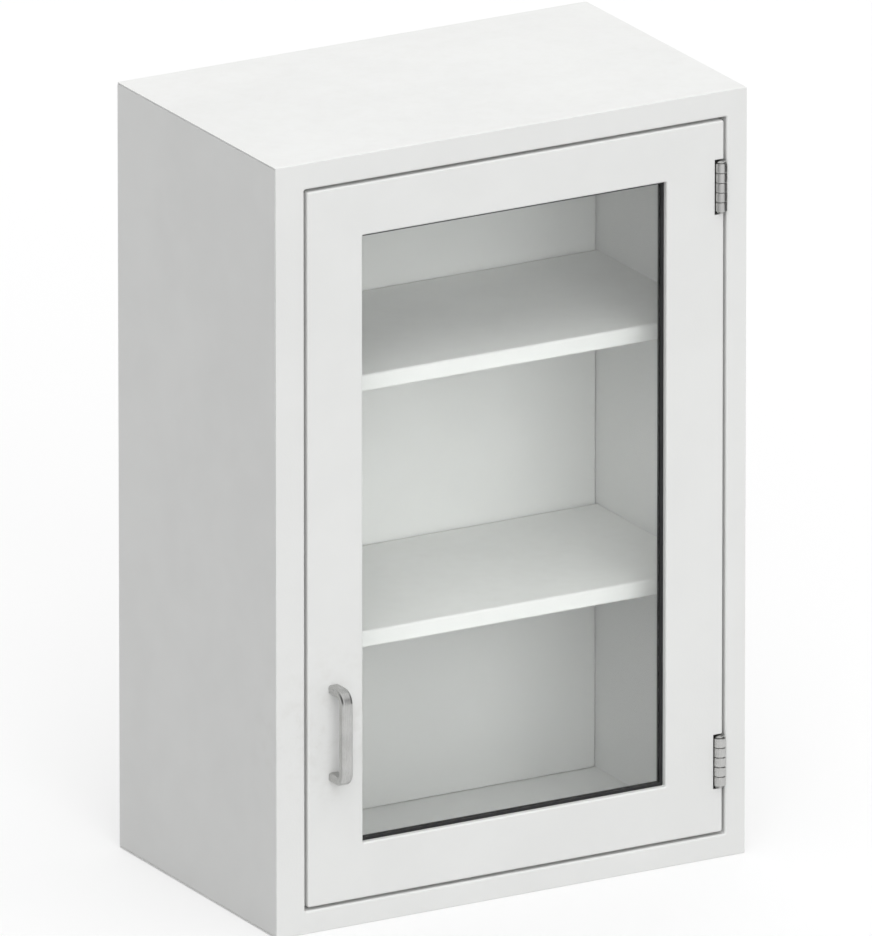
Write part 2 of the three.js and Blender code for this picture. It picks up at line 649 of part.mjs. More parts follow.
// A rectangle of a given length and height about the catch's middle
function aboutCatch(length, height) {
  const reach = { x: length / 2, z: height / 2 };
  return { x0: CATCH_X - reach.x, x1: CATCH_X + reach.x, z0: CATCH_Z - reach.z, z1: CATCH_Z + reach.z };
}

function catchCutout() {
  return grow(aboutCatch(CATCH_LENGTH, CATCH_HEIGHT), FIT_GAP);
}

function catchHousing() {
  const body = aboutCatch(CATCH_LENGTH, CATCH_HEIGHT);
  const bezelBack = STOP_FRONT - FIT_GAP;
  const bezel = plate(grow(catchCutout(), CATCH_BEZEL_EDGE), bezelBack - CATCH_BEZEL, bezelBack);
  const shell = plate(body, bezelBack - CATCH_BEZEL, CATCH_BACK);
  const barbBack = STOP_BACK + FIT_GAP + CATCH_BARB_LENGTH;
  const barbReach = FIT_GAP + CATCH_BARB;
  const barbRect = { ...body, x0: body.x0 - barbReach, x1: body.x1 + barbReach };
  const barbs = plate(barbRect, STOP_BACK + FIT_GAP, barbBack);
  const pocket = aboutCatch(CATCH_POCKET.length, CATCH_POCKET.height);
  const hollow = plate(pocket, bezelBack - CATCH_BEZEL - CUT_MARGIN, CATCH_BACK - CATCH_WALL);
  return cut(join(bezel, shell, barbs), hollow);
}

// A bar in the catch's pocket, at a height from the catch's middle
function catchBar(offset, thickness, front) {
  const bar = aboutCatch(CATCH_POCKET.length - 2 * FIT_GAP, thickness);
  const back = CATCH_BACK - CATCH_WALL - FIT_GAP;
  return plate({ ...bar, z0: bar.z0 + offset, z1: bar.z1 + offset }, front, back);
}

function strikePlate() {
  const outline = {
    x0: CATCH_X - STRIKE_LENGTH / 2,
    x1: CATCH_X + STRIKE_LENGTH / 2,
    z0: STRIKE_TOP - STRIKE_HEIGHT,
    z1: STRIKE_TOP,
  };
  const front = DOOR_BACK + FIT_GAP;
  const radius = STRIKE_SCREW.shankRadius + FIT_GAP;
  const hole = drill(CATCH_X, STRIKE_SCREW_Z, radius, front, STRIKE_BACK);
  return cut(plate(outline, front, STRIKE_BACK), hole);
}

// Assembly

function cabinetGroup() {
  const group = new THREE.Group();
  const topRail = frameRail(CABINET_HEIGHT, OPENING.z1, TOP_STOP_LIP);
  const catchHole = plate(catchCutout(), STOP_FRONT - CUT_MARGIN, STOP_BACK + CUT_MARGIN);
  const poleOffset = (CATCH_STACK - POLE_THICKNESS) / 2;
  group.add(
    named("left_side_panel", sidePanel(LEFT, INSIDE.x0), PAINT),
    named("right_side_panel", sidePanel(RIGHT, INSIDE.x1), PAINT),
    named("top_panel", capPanel(INSIDE.z1, CABINET_HEIGHT), PAINT),
    named("bottom_panel", capPanel(0, INSIDE.z0), PAINT),
    named("back_panel", backPanel(), INNER_PAINT),
    named("upper_hanging_rail", hangingRail("upper"), ZINC),
    named("lower_hanging_rail", hangingRail("lower"), ZINC),
    named("latch_frame_stile", frameStile(LEFT, OPENING.x0), PAINT),
    named("hinge_frame_stile", frameStile(RIGHT, OPENING.x1), PAINT),
    named("top_frame_rail", cut(topRail, catchHole), PAINT),
    named("bottom_frame_rail", frameRail(0, OPENING.z0, STOP_LIP), PAINT),
    named("catch_housing", catchHousing(), CATCH_PLASTIC),
    named("catch_magnet", catchBar(0, MAGNET_THICKNESS, POLE_FRONT + MAGNET_SETBACK), FERRITE),
    named("catch_pole_upper", catchBar(poleOffset, POLE_THICKNESS, POLE_FRONT), ZINC),
    named("catch_pole_lower", catchBar(-poleOffset, POLE_THICKNESS, POLE_FRONT), ZINC),
  );
  for (const level of Object.keys(SHELF_TOPS)) group.add(...shelfRests(level));
  for (const [level, z] of Object.entries(HINGE_HEIGHTS)) {
    const leaf = named(`${level}_hinge_frame_leaf`, frameLeaf(), SATIN_STEEL);
    const pin = named(`${level}_hinge_pin`, hingePin(), SATIN_STEEL);
    group.add(placed(leaf, HINGE_X, FRONT, z), placed(pin, HINGE_X, FRONT, z));
  }
  return group;
}

function shelfRests(level) {
  const z = SHELF_TOPS[level] - SHELF_SHEET - FIT_GAP;
  return REST_PLACES.map(({ name, x, y, turn }) => {
    const rest = named(`${level}_shelf_rest_${name}`, restGeometry(), INNER_PAINT);
    rest.rotation.z = turn;
    return placed(rest, x, y, z);
  });
}

function shelfGroup(level) {
  const group = new THREE.Group();
  group.add(named(`${level}_shelf`, shelfGeometry(SHELF_TOPS[level]), INNER_PAINT));
  return group;
}

function doorGroup() {
  const group = new THREE.Group();
  group.add(
    named("door_front_skin", doorSkin(), PAINT),
    named("door_back_pan", doorBackPan(), PAINT),
    named("glass_pane", plate(grow(WINDOW, GLASS_BITE), GLASS_FRONT, GLASS_BACK), GLASS),
    named("glazing_gasket", glazingGasket(), RUBBER),
    named("door_pull", pullGeometry(), SATIN_STEEL),
    named("pull_backing_plate", pullPlate(), ZINC),
    named("strike_plate", strikePlate(), ZINC),
  );
  const strikeScrew = named("strike_screw", screwGeometry(STRIKE_SCREW), SCREW_STEEL);
  group.add(placed(strikeScrew, CATCH_X, STRIKE_BACK + FIT_GAP, STRIKE_SCREW_Z));
  addGlassStops(group);
  addPullScrews(group);
  for (const [level, z] of Object.entries(HINGE_HEIGHTS)) {
    group.add(placed(named(`${level}_hinge_door_leaf`, doorLeaf(), SATIN_STEEL), HINGE_X, FRONT, z));
  }
  const bumperX = (DOOR.x0 + OPENING.x0 + STOP_LIP) / 2;
  const bumperHeights = { upper: DOOR.z1 - BUMPER_END_DISTANCE, lower: DOOR.z0 + BUMPER_END_DISTANCE };
  for (const [level, z] of Object.entries(bumperHeights)) {
    const bumper = named(`door_bumper_${level}`, bumperGeometry(), RUBBER);
    group.add(placed(bumper, bumperX, DOOR_BACK + FIT_GAP, z));
  }
  return group;
}

function addGlassStops(group) {
  const headY = DOOR_BACK + 2 * FIT_GAP + GLASS_STOP_SHEET;
  for (const stop of GLASS_STOPS) {
    const strip = placed(named(`glass_stop_${stop.name}`, glassStop(stop.length), PAINT), stop.x, 0, stop.z);
    strip.rotation.y = stop.turn;
    group.add(strip);
    stopScrewPoints(stop).forEach(({ x, z }, index) => {
      const name = `glass_stop_screw_${stop.name}_${index + 1}`;
      group.add(placed(named(name, screwGeometry(GLASS_STOP_SCREW), SCREW_STEEL), x, headY, z));
    });
  }
}

function addPullScrews(group) {
  const seat = FRONT + DOOR_SHEET + FIT_GAP + PULL_PLATE_THICKNESS + FIT_GAP;
  const shankLength = seat - (FRONT - PULL_SCREW_GRIP);
  for (const [level, z] of Object.entries(pullScrewHeights())) {
    const geometry = screwGeometry({ ...PULL_SCREW_HEAD, shankLength });
    group.add(placed(named(`pull_screw_${level}`, geometry, SCREW_STEEL), pullX(), seat, z));
  }
}

const cabinet = new THREE.Group();
cabinet.name = "glass_door_medical_cabinet";
cabinet.add(cabinetGroup(), shelfGroup("upper"), shelfGroup("lower"), doorGroup());

export default cabinet;
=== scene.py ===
# %% [markdown]
# # A glass door clinic cabinet
#
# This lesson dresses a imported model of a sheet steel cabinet: a carcass with a face frame, an inset door
# with a pane of glass, a bent bar pull, two knuckle hinges, a magnetic catch and two loose shelves.
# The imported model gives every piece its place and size. Here each folded sheet gets its bend radius, each
# screw its recess, and each surface its finish. Lengths are metres, +Z is up and the door faces -Y.

# %% Load the frame
import json
import math

import bmesh
import bpy
import numpy as np
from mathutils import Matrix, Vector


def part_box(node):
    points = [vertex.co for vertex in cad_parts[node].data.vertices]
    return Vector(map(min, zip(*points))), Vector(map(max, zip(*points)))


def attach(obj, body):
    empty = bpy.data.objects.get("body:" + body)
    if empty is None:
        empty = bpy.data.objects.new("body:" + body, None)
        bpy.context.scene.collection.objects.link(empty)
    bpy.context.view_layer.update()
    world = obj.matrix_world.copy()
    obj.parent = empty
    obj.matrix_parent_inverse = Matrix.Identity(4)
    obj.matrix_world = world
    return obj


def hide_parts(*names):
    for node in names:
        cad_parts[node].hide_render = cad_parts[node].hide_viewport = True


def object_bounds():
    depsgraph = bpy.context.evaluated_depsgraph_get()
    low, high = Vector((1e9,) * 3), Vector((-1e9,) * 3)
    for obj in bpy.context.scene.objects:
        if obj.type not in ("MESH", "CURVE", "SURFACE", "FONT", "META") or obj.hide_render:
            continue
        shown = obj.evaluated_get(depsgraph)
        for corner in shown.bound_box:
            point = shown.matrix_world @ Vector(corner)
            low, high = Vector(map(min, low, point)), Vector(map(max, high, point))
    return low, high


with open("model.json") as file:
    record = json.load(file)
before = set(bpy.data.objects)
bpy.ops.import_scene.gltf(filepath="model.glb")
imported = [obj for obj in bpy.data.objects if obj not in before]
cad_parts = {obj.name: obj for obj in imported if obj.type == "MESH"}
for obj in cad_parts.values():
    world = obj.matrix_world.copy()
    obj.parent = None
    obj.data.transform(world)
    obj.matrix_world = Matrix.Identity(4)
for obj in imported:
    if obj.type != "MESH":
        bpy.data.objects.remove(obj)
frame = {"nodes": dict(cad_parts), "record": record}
cad_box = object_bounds()
MM = 0.001
X, Y, Z = range(3)
record = frame["record"]
BODY_OF = {node: body for body, nodes in record["behaviour"]["bodies"].items() for node in nodes}
SLOT_OF = {part["node"]: part["material_slot"] for part in record["subparts"]}


def span(node):
    """Lowest and highest corner of a CAD node as arrays."""
    return tuple(np.array(point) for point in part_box(node))


# %% [markdown]
# ## The camera
#
# The drawing is close to a parallel view from the front left, a little from above. An orthographic camera
# could give it, but a very long lens far away has nearly parallel edges too and still behaves as a real
# camera in every other view. One corner of the carcass, its pixel and the drawing's scale fix what lies in
# the middle of the picture, so the camera needs no shift.

# %% What the picture is centred on
VIEW_AZIMUTH = math.radians(-29.47)
VIEW_ELEVATION = math.radians(18.46)
PICTURE_WIDTH = 872
PICTURE_HEIGHT = 936
PIXELS_PER_METRE = 1059.6
CORNER_PIXEL = (277.2, 938.0)

low, high = (np.array(corner) for corner in cad_box)
corner = np.array([low[X], span("latch_frame_stile")[0][Y], low[Z]])
right = np.array([math.cos(VIEW_AZIMUTH), math.sin(VIEW_AZIMUTH), 0])
forward = np.array([-math.sin(VIEW_AZIMUTH) * math.cos(VIEW_ELEVATION),
                    math.cos(VIEW_AZIMUTH) * math.cos(VIEW_ELEVATION), -math.sin(VIEW_ELEVATION)])
up = np.cross(right, forward)
across = (PICTURE_WIDTH / 2 - CORNER_PIXEL[0]) / PIXELS_PER_METRE
above = (CORNER_PIXEL[1] - PICTURE_HEIGHT / 2) / PIXELS_PER_METRE
target = corner + right * across + up * above
target = target + forward * np.dot((low + high) / 2 - target, forward)
print("the picture is centred on", np.round(target, 3))

# %% Camera
CAMERA_DISTANCE = 33.0
SENSOR = 36.0
camera_data = bpy.data.cameras.new("camera")
camera_data.sensor_width = SENSOR
camera_data.lens = SENSOR * CAMERA_DISTANCE * PIXELS_PER_METRE / PICTURE_HEIGHT
camera_data.clip_end = 2 * CAMERA_DISTANCE
camera = bpy.data.objects.new("camera", camera_data)
bpy.context.scene.collection.objects.link(camera)
camera.location = target - forward * CAMERA_DISTANCE
camera.rotation_euler = (math.pi / 2 - VIEW_ELEVATION, 0, VIEW_AZIMUTH)
bpy.context.scene.camera = camera
bpy.context.scene.view_settings.view_transform = "Standard"
print("lens", round(camera_data.lens), "mm at", camera.location[:])

# %% [markdown]
# ## Helpers for node trees
#
# Every finish below is a small node tree. The trees could be drawn by hand in the shader editor. Written as
# code, with one helper for each thing that is done often, each line says what feeds what, and a finish can
# be read from top to bottom.


# %% Add a node
def add(tree, kind, inputs=None, **settings):
    """Adds a node, sets its properties, then each input socket to a value or to another node's output."""
    made = tree.nodes.new(kind)
    for name, value in settings.items():
        setattr(made, name, value)
    for socket, value in (inputs or {}).items():
        if isinstance(value, bpy.types.NodeSocket):
            tree.links.new(value, made.inputs[socket])
        else:
            made.inputs[socket].default_value = value
    return made


print("a node is added with", add.__name__)


# %% Sums, ramps and noise
def math_node(tree, operation, first, second):
    """One arithmetic step on two values or outputs."""
    return add(tree, "ShaderNodeMath", {0: first, 1: second}, operation=operation).outputs[0]


def ramp(tree, value, low, high, to_low=0.0, to_high=1.0):
    """Carries a value smoothly from one range to another, held at both ends."""
    inputs = {"Value": value, "From Min": low, "From Max": high, "To Min": to_low, "To Max": to_high}
    return add(tree, "ShaderNodeMapRange", inputs, interpolation_type="SMOOTHSTEP").outputs["Result"]


def noise(tree, vector, scale, detail=2.0, roughness=0.5):
    """Soft noise from 0 to 1 with `scale` features to the metre."""
    inputs = {"Vector": vector, "Scale": scale, "Detail": detail, "Roughness": roughness}
    return add(tree, "ShaderNodeTexNoise", inputs).outputs["Fac"]


def place(tree):
    """Object coordinates, which are the cabinet's own metres."""
    return tree.nodes.new("ShaderNodeTexCoord").outputs["Object"]


print("sums, ramps and noise ready")


# %% Start a group
def start_group(name, inputs, outputs):
    """An empty node group with its sockets, given as (name, kind, default) and (name, kind)."""
    tree = bpy.data.node_groups.new(name, "ShaderNodeTree")
    for socket, kind, default in inputs:
        made = tree.interface.new_socket(socket, in_out="INPUT", socket_type="NodeSocket" + kind)
        made.default_value = default
    for socket, kind in outputs:
        tree.interface.new_socket(socket, in_out="OUTPUT", socket_type="NodeSocket" + kind)
    return tree, tree.nodes.new("NodeGroupInput").outputs, tree.nodes.new("NodeGroupOutput").inputs


print("a group is started with", start_group.__name__)

# %% [markdown]
# ## Tone drift
#
# No real surface has one flat tone: paint, steel and rubber all drift a little over a hand's width. The
# drift could be painted as an image. Soft noise on Object coordinates needs no image, never repeats and has
# the same scale on every piece, so it is a group that each finish gives its own colour and strength.

# %% Tone drift
tone_drift, given, result = start_group(
    "tone_drift",
    [("Color", "Color", (0.8, 0.8, 0.8, 1)), ("Drift", "Float", 0.04), ("Scale", "Float", 7.0)],
    [("Color", "Color")])
patches = noise(tone_drift, place(tone_drift), given["Scale"], detail=4.0, roughness=0.6)
shade = math_node(tone_drift, "MULTIPLY", ramp(tone_drift, patches, 0.35, 0.65), given["Drift"])
brightness = math_node(tone_drift, "SUBTRACT", 1.0, shade)
drifted = add(tone_drift, "ShaderNodeHueSaturation", {"Color": given["Color"], "Value": brightness})
tone_drift.links.new(drifted.outputs["Color"], result["Color"])
print("group", tone_drift.name)

# %% [markdown]
# ## The skin of a powder coat
#
# Baked powder has a fine skin like orange peel, about two millimetres from bump to bump, and the sheet under
# it is never quite flat. Real displacement would need millions of faces for that, so both are one height
# that bends the normal. The gloss varies too, in patches the size of a thumb.

# %% Coat skin
PEEL_SCALE = 520.0
SHEET_WAVE_SCALE = 5.0
GLOSS_SCALE = 24.0
GLOSS_SWING = 0.05
coat_skin, given, result = start_group(
    "coat_skin",
    [("Peel", "Float", 0.4), ("Roughness", "Float", 0.4)],
    [("Height", "Float"), ("Roughness", "Float")])
where = place(coat_skin)
peel = math_node(coat_skin, "MULTIPLY", noise(coat_skin, where, PEEL_SCALE, detail=1.0), given["Peel"])
wave = noise(coat_skin, where, SHEET_WAVE_SCALE, detail=0.0)
coat_skin.links.new(math_node(coat_skin, "ADD", peel, wave), result["Height"])
patches = noise(coat_skin, where, GLOSS_SCALE, detail=4.0, roughness=0.65)
gloss = ramp(coat_skin, patches, 0.3, 0.7, -GLOSS_SWING, GLOSS_SWING)
coat_skin.links.new(math_node(coat_skin, "ADD", gloss, given["Roughness"]), result["Roughness"])
print("group", coat_skin.name)

# %% [markdown]
# ## Brushed grain
#
# Satin steel is rubbed in one direction, which leaves fine parallel scratches. Drawn scratches would have to
# be thousands of lines. Noise that is squeezed across the grain and stretched along it looks the same, and
# the direction is simply three scales. The place comes in as an input, because a bent bar carries its own.

# %% Brushed grain
brushed_grain, given, result = start_group(
    "brushed_grain",
    [("Where", "Vector", (0, 0, 0)), ("Across", "Vector", (1500.0, 1500.0, 25.0)),
     ("Roughness", "Float", 0.3), ("Spread", "Float", 0.12)],
    [("Height", "Float"), ("Roughness", "Float")])
stretched = add(brushed_grain, "ShaderNodeVectorMath", {0: given["Where"], 1: given["Across"]},
                operation="MULTIPLY").outputs["Vector"]
streak = noise(brushed_grain, stretched, 1.0, detail=3.0, roughness=0.7)
brushed_grain.links.new(streak, result["Height"])
centred = math_node(brushed_grain, "SUBTRACT", streak, 0.5)
spread = math_node(brushed_grain, "MULTIPLY", centred, given["Spread"])
brushed_grain.links.new(math_node(brushed_grain, "ADD", spread, given["Roughness"]), result["Roughness"])
print("group", brushed_grain.name)

# %% [markdown]
# ## Hand marks
#
# Fingers leave faint grey marks round a pull, thickest beside it and gone a hand's width away. A mask could
# be painted on each piece. A distance from one point, broken up by noise, gives the same marks on the door,
# the frame and the pull at once, and they meet across the gaps.

# %% Hand marks
PRINT_SCALE = 60.0
hand_marks, given, result = start_group(
    "hand_marks",
    [("Centre", "Vector", (0, 0, 0)), ("Reach", "Float", 0.1), ("Strength", "Float", 1.0)],
    [("Mask", "Float")])
where = place(hand_marks)
distance = add(hand_marks, "ShaderNodeVectorMath", {0: where, 1: given["Centre"]}, operation="DISTANCE")
share = math_node(hand_marks, "DIVIDE", distance.outputs["Value"], given["Reach"])
near = ramp(hand_marks, share, 0.1, 1.0, to_low=1.0, to_high=0.0)
prints = ramp(hand_marks, noise(hand_marks, where, PRINT_SCALE, detail=5.0, roughness=0.6), 0.45, 0.7)
touched = math_node(hand_marks, "MULTIPLY", near, prints)
hand_marks.links.new(math_node(hand_marks, "MULTIPLY", touched, given["Strength"]), result["Mask"])
print("group", hand_marks.name)

# %% [markdown]
# ## Settled dust
#
# Dust lies on whatever faces up: the top, the shelves, the ledge of the gasket. It could be a layer of its
# own, but a mask is enough at this thickness. The upward part of the normal says where dust can lie, and
# noise makes it uneven.

# %% Settled dust
SPECK_SCALE = 90.0
settled_dust, given, result = start_group("settled_dust", [("Amount", "Float", 0.3)], [("Mask", "Float")])
facing = settled_dust.nodes.new("ShaderNodeNewGeometry").outputs["Normal"]
upward = add(settled_dust, "ShaderNodeSeparateXYZ", {0: facing}).outputs["Z"]
specks = noise(settled_dust, place(settled_dust), SPECK_SCALE, detail=6.0, roughness=0.7)
lying = math_node(settled_dust, "MULTIPLY", ramp(settled_dust, upward, 0.5, 0.95),
                  ramp(settled_dust, specks, 0.35, 0.75))
settled_dust.links.new(math_node(settled_dust, "MULTIPLY", lying, given["Amount"]), result["Mask"])
print("group", settled_dust.name)

# %% [markdown]
# ## Finishes
#
# A finish is a material with one Principled shader. It could be copied and changed by hand for each of the
# record's ten slots. Here one function makes each kind of finish, so pieces of one kind differ only by the
# numbers given. The shader stays in the material, and the groups feed it colours, roughness and heights.

# %% A material to start from
FINISHES = {}


def start_finish(name):
    """A new material, kept under its name: its tree and its Principled shader."""
    material = bpy.data.materials.new(name)
    material.use_nodes = True
    FINISHES[name] = material
    return material.node_tree, material.node_tree.nodes["Principled BSDF"]


def use(tree, group, inputs):
    """Places a shared group in a material and gives its outputs."""
    return add(tree, "ShaderNodeGroup", inputs, node_tree=group).outputs


def mix(tree, mask, first, second):
    """A colour that goes from the first to the second as the mask goes from 0 to 1. A Mix node has sockets
    for every kind of value, and its colours are the inputs 6 and 7 and the output 2."""
    return add(tree, "ShaderNodeMix", {0: mask, 6: first, 7: second}, data_type="RGBA").outputs[2]


def bump(tree, shader, height, strength, distance):
    """A height, in shares of `distance` metres, that bends the shader's normal."""
    inputs = {"Height": height, "Strength": strength, "Distance": distance}
    tree.links.new(add(tree, "ShaderNodeBump", inputs).outputs["Normal"], shader.inputs["Normal"])


print("finishes can be started")

# %% [markdown]
# ### Powder coat
#
# Carcass, door and shelves are white powder coated steel, a little duller inside. Inside and out are one
# coat, but the inside copy is painted a little lighter, a painted lift against the shade in the case. Pure
# white would leave no room for light and shade, so the colour is a light grey that the lamps lift. Grease
# near the pull comes first, dust lies on top of it and also dulls the gloss.

# %% Powder coat
PULL_POINT = tuple(np.mean(span("door_pull"), axis=0))
PAINT_GREASE = (0.55, 0.53, 0.49, 1)
DUST = (0.62, 0.60, 0.56, 1)
DUST_DULLS = 0.3
PEEL_DEPTH = 0.4 * MM


def powder_coat(slot, colour, roughness, dust, marks):
    """White powder coat: a drifting tone, orange peel, dust on what looks up and marks near the pull."""
    tree, shader = start_finish(slot)
    tone = use(tree, tone_drift, {"Color": colour, "Drift": 0.028, "Scale": 6.0})["Color"]
    grease = use(tree, hand_marks, {"Centre": PULL_POINT, "Reach": 0.12, "Strength": marks})["Mask"]
    fallen = use(tree, settled_dust, {"Amount": dust})["Mask"]
    worn = mix(tree, grease, tone, PAINT_GREASE)
    tree.links.new(mix(tree, fallen, worn, DUST), shader.inputs["Base Color"])
    skin = use(tree, coat_skin, {"Peel": 0.4, "Roughness": roughness})
    dulled = math_node(tree, "ADD", skin["Roughness"], math_node(tree, "MULTIPLY", fallen, DUST_DULLS))
    tree.links.new(dulled, shader.inputs["Roughness"])
    bump(tree, shader, skin["Height"], strength=0.35, distance=PEEL_DEPTH)
    shader.inputs["Specular IOR Level"].default_value = 0.4


powder_coat("cabinet_paint", (0.77, 0.775, 0.765, 1), roughness=0.40, dust=0.10, marks=0.22)
# The inside is the same coat with a lighter colour: painted light that lifts the shade inside the case.
powder_coat("inner_paint", (0.80, 0.805, 0.79, 1), roughness=0.46, dust=0.12, marks=0.0)
print("powder coats", list(FINISHES))

# %% [markdown]
# ### Steels
#
# The pull and the hinges are satin stainless steel, the screws bright steel, the hanging rails and catch
# plates zinc plated. An anisotropic shader could show the brushing, but it is lost in many file formats. A
# grain in the roughness and the normal survives. Equal scales in all directions make it a fine grit, and
# larger features make it the cloudy pattern of zinc.

# %% Steels
BAR_WAY = "bar_way"
STEEL_GREASE = (0.42, 0.41, 0.39, 1)
GRAIN_DEPTH = 0.02 * MM


def steel(finish, colour, roughness, across, spread, drift, way=None):
    """Bare or plated steel: a metal whose roughness and height follow a grain along one direction of the
    cabinet, or along a bent piece whose points carry their own way in an attribute."""
    tree, shader = start_finish(finish)
    where = add(tree, "ShaderNodeAttribute", attribute_name=way).outputs["Vector"] if way else place(tree)
    grain = use(tree, brushed_grain,
                {"Where": where, "Across": across, "Roughness": roughness, "Spread": spread})
    tone = use(tree, tone_drift, {"Color": colour, "Drift": drift, "Scale": 40.0})["Color"]
    grease = use(tree, hand_marks, {"Centre": PULL_POINT, "Reach": 0.09, "Strength": 0.25})["Mask"]
    tree.links.new(mix(tree, grease, tone, STEEL_GREASE), shader.inputs["Base Color"])
    tree.links.new(grain["Roughness"], shader.inputs["Roughness"])
    bump(tree, shader, grain["Height"], strength=0.25, distance=GRAIN_DEPTH)
    shader.inputs["Metallic"].default_value = 1.0


SATIN = {"colour": (0.55, 0.55, 0.54, 1), "roughness": 0.28, "across": (1500, 1500, 25), "spread": 0.16,
         "drift": 0.10}
BRIGHT = {"colour": (0.50, 0.505, 0.51, 1), "roughness": 0.28, "across": (900, 900, 900), "spread": 0.10,
          "drift": 0.12}
ZINC = {"colour": (0.56, 0.58, 0.59, 1), "roughness": 0.36, "across": (260, 260, 260), "spread": 0.18,
        "drift": 0.12}
steel("satin_steel", **SATIN)
steel("satin_bar", **SATIN, way=BAR_WAY)
steel("screw_steel", **BRIGHT)
steel("zinc_plate", **ZINC)
print("steels: satin, bent satin bar, screw and zinc")

# %% [markdown]
# ### Rubber, plastic and ferrite
#
# Gasket, bumpers, catch case and magnet come out of moulds and presses, with a fine even grain all over.
# They could each be one flat colour, since they are small, but the gasket is the darkest line in the
# picture and shows its grain in a close view. One function serves all four.

# %% Rubber, plastic and ferrite
MOULD_SWING = 0.08


def moulded(slot, colour, roughness, scale, depth, drift, dust):
    """A moulded or pressed piece: a fine grain, a drifting tone and some dust."""
    tree, shader = start_finish(slot)
    tone = use(tree, tone_drift, {"Color": colour, "Drift": drift, "Scale": 30.0})["Color"]
    fallen = use(tree, settled_dust, {"Amount": dust})["Mask"]
    tree.links.new(mix(tree, fallen, tone, DUST), shader.inputs["Base Color"])
    grain = noise(tree, place(tree), scale, detail=3.0, roughness=0.6)
    gloss = ramp(tree, grain, 0.3, 0.7, roughness - MOULD_SWING, roughness + MOULD_SWING)
    tree.links.new(gloss, shader.inputs["Roughness"])
    bump(tree, shader, grain, strength=0.3, distance=depth)


moulded("gasket_rubber", (0.018, 0.018, 0.019, 1), roughness=0.62, scale=700, depth=0.05 * MM, drift=0.35,
        dust=0.12)
moulded("bumper_rubber", (0.15, 0.15, 0.15, 1), roughness=0.55, scale=900, depth=0.03 * MM, drift=0.2,
        dust=0.05)
moulded("catch_plastic", (0.70, 0.70, 0.67, 1), roughness=0.45, scale=1400, depth=0.03 * MM, drift=0.06,
        dust=0.05)
moulded("magnet_ferrite", (0.055, 0.055, 0.057, 1), roughness=0.6, scale=2200, depth=0.05 * MM, drift=0.4,
        dust=0.0)
print("moulded: gasket, bumper, catch and magnet")

# %% [markdown]
# ### Glass
#
# Clear tempered glass bends the view a little and has a faint green body. A flat transparent sheet would be
# simpler, but it would lose the bend and the mirrored room. A solid pane in Cycles lets hardly any lamp light
# through, so rays that only ask for shadow pass straight through, less what the two faces mirror away. Faint
# wipe marks vary the roughness.

# %% Glass
GLASS_COLOUR = (0.985, 0.995, 0.99, 1)
GLASS_SHADOW = (0.915, 0.925, 0.92, 1)
WIPED = (9.0, 9.0, 34.0)
tree, shader = start_finish("clear_glass")
shader.inputs["Transmission Weight"].default_value = 1.0
shader.inputs["IOR"].default_value = 1.5
tint = use(tree, tone_drift, {"Color": GLASS_COLOUR, "Drift": 0.01, "Scale": 12.0})["Color"]
tree.links.new(tint, shader.inputs["Base Color"])
strokes = add(tree, "ShaderNodeVectorMath", {0: place(tree), 1: WIPED},
              operation="MULTIPLY").outputs["Vector"]
smears = ramp(tree, noise(tree, strokes, 1.0, detail=4.0, roughness=0.6), 0.5, 0.8, to_high=0.035)
tree.links.new(smears, shader.inputs["Roughness"])
clear = add(tree, "ShaderNodeBsdfTransparent", {"Color": GLASS_SHADOW})
shadow_ray = tree.nodes.new("ShaderNodeLightPath").outputs["Is Shadow Ray"]
shaders = {0: shadow_ray, 1: shader.outputs["BSDF"], 2: clear.outputs["BSDF"]}
pane = add(tree, "ShaderNodeMixShader", shaders)
tree.links.new(pane.outputs["Shader"], tree.nodes["Material Output"].inputs["Surface"])
print("finishes", len(FINISHES), "for", len(record["materials"]), "slots")

# %% [markdown]
# ## Flat plates
#
# A cut sheet is flat, with small round corners and edges that the press has eased. A cube with a Bevel
# modifier would do, but its corners and edges would share one radius. Here the outline is a ring of points,
# and a few such rings, each a little smaller and deeper, run over the eased edge. Rings become a grid, and a
# grid becomes quads.


# %% Quads of a grid
def grid_quads(rows, columns, close_rows=False, close_columns=False):
    """Corner numbers of a grid's quads, row by row. A closed direction joins its last line to its first."""
    row = np.arange(rows if close_rows else rows - 1)[:, None]
    column = np.arange(columns if close_columns else columns - 1)[None, :]
    after_row, after_column = (row + 1) % rows, (column + 1) % columns
    corners = (row * columns + column, row * columns + after_column,
               after_row * columns + after_column, after_row * columns + column)
    return np.stack(np.broadcast_arrays(*corners), -1).reshape(-1, 4)


print("a 3 x 4 grid has", len(grid_quads(3, 4)), "quads")

# %% Rounded rectangles
CORNER_STEPS = 6


def rounded_ring(rect, radius, right=(), top=(), left=(), bottom=(), steps=CORNER_STEPS):
    """Points round rectangles (x0, x1, z0, z1 as arrays), a row for each: four quarter circles joined by
    straight sides, from the lower right corner upwards. A side may carry extra points, kept within its
    straight run."""
    x0, x1, z0, z1 = (np.asarray(side, float)[:, None] for side in rect)
    radius = np.asarray(radius, float)[:, None]
    quarter = np.linspace(0, math.pi / 2, steps + 1)[None, :]
    centres = [(x1 - radius, z0 + radius), (x1 - radius, z1 - radius), (x0 + radius, z1 - radius),
               (x0 + radius, z0 + radius)]
    sides = [(x1, None, right), (None, z1, top), (x0, None, left), (None, z0, bottom)]
    xs, zs = [], []
    for turn, (x, z), (at_x, at_z, stops) in zip(np.radians([-90, 0, 90, 180]), centres, sides):
        xs.append(x + radius * np.cos(quarter + turn))
        zs.append(z + radius * np.sin(quarter + turn))
        stops = np.asarray(stops, float)[None, :]
        xs.append(np.clip(stops, x0 + radius, x1 - radius) if at_x is None else at_x + 0 * stops)
        zs.append(np.clip(stops, z0 + radius, z1 - radius) if at_z is None else at_z + 0 * stops)
    return np.concatenate(xs, axis=1), np.concatenate(zs, axis=1)


print("a plain ring has", rounded_ring(([0], [1], [0], [1]), [0.1])[0].shape[1], "points")

# %% Plates with eased edges
LEAST_CORNER = 0.05 * MM


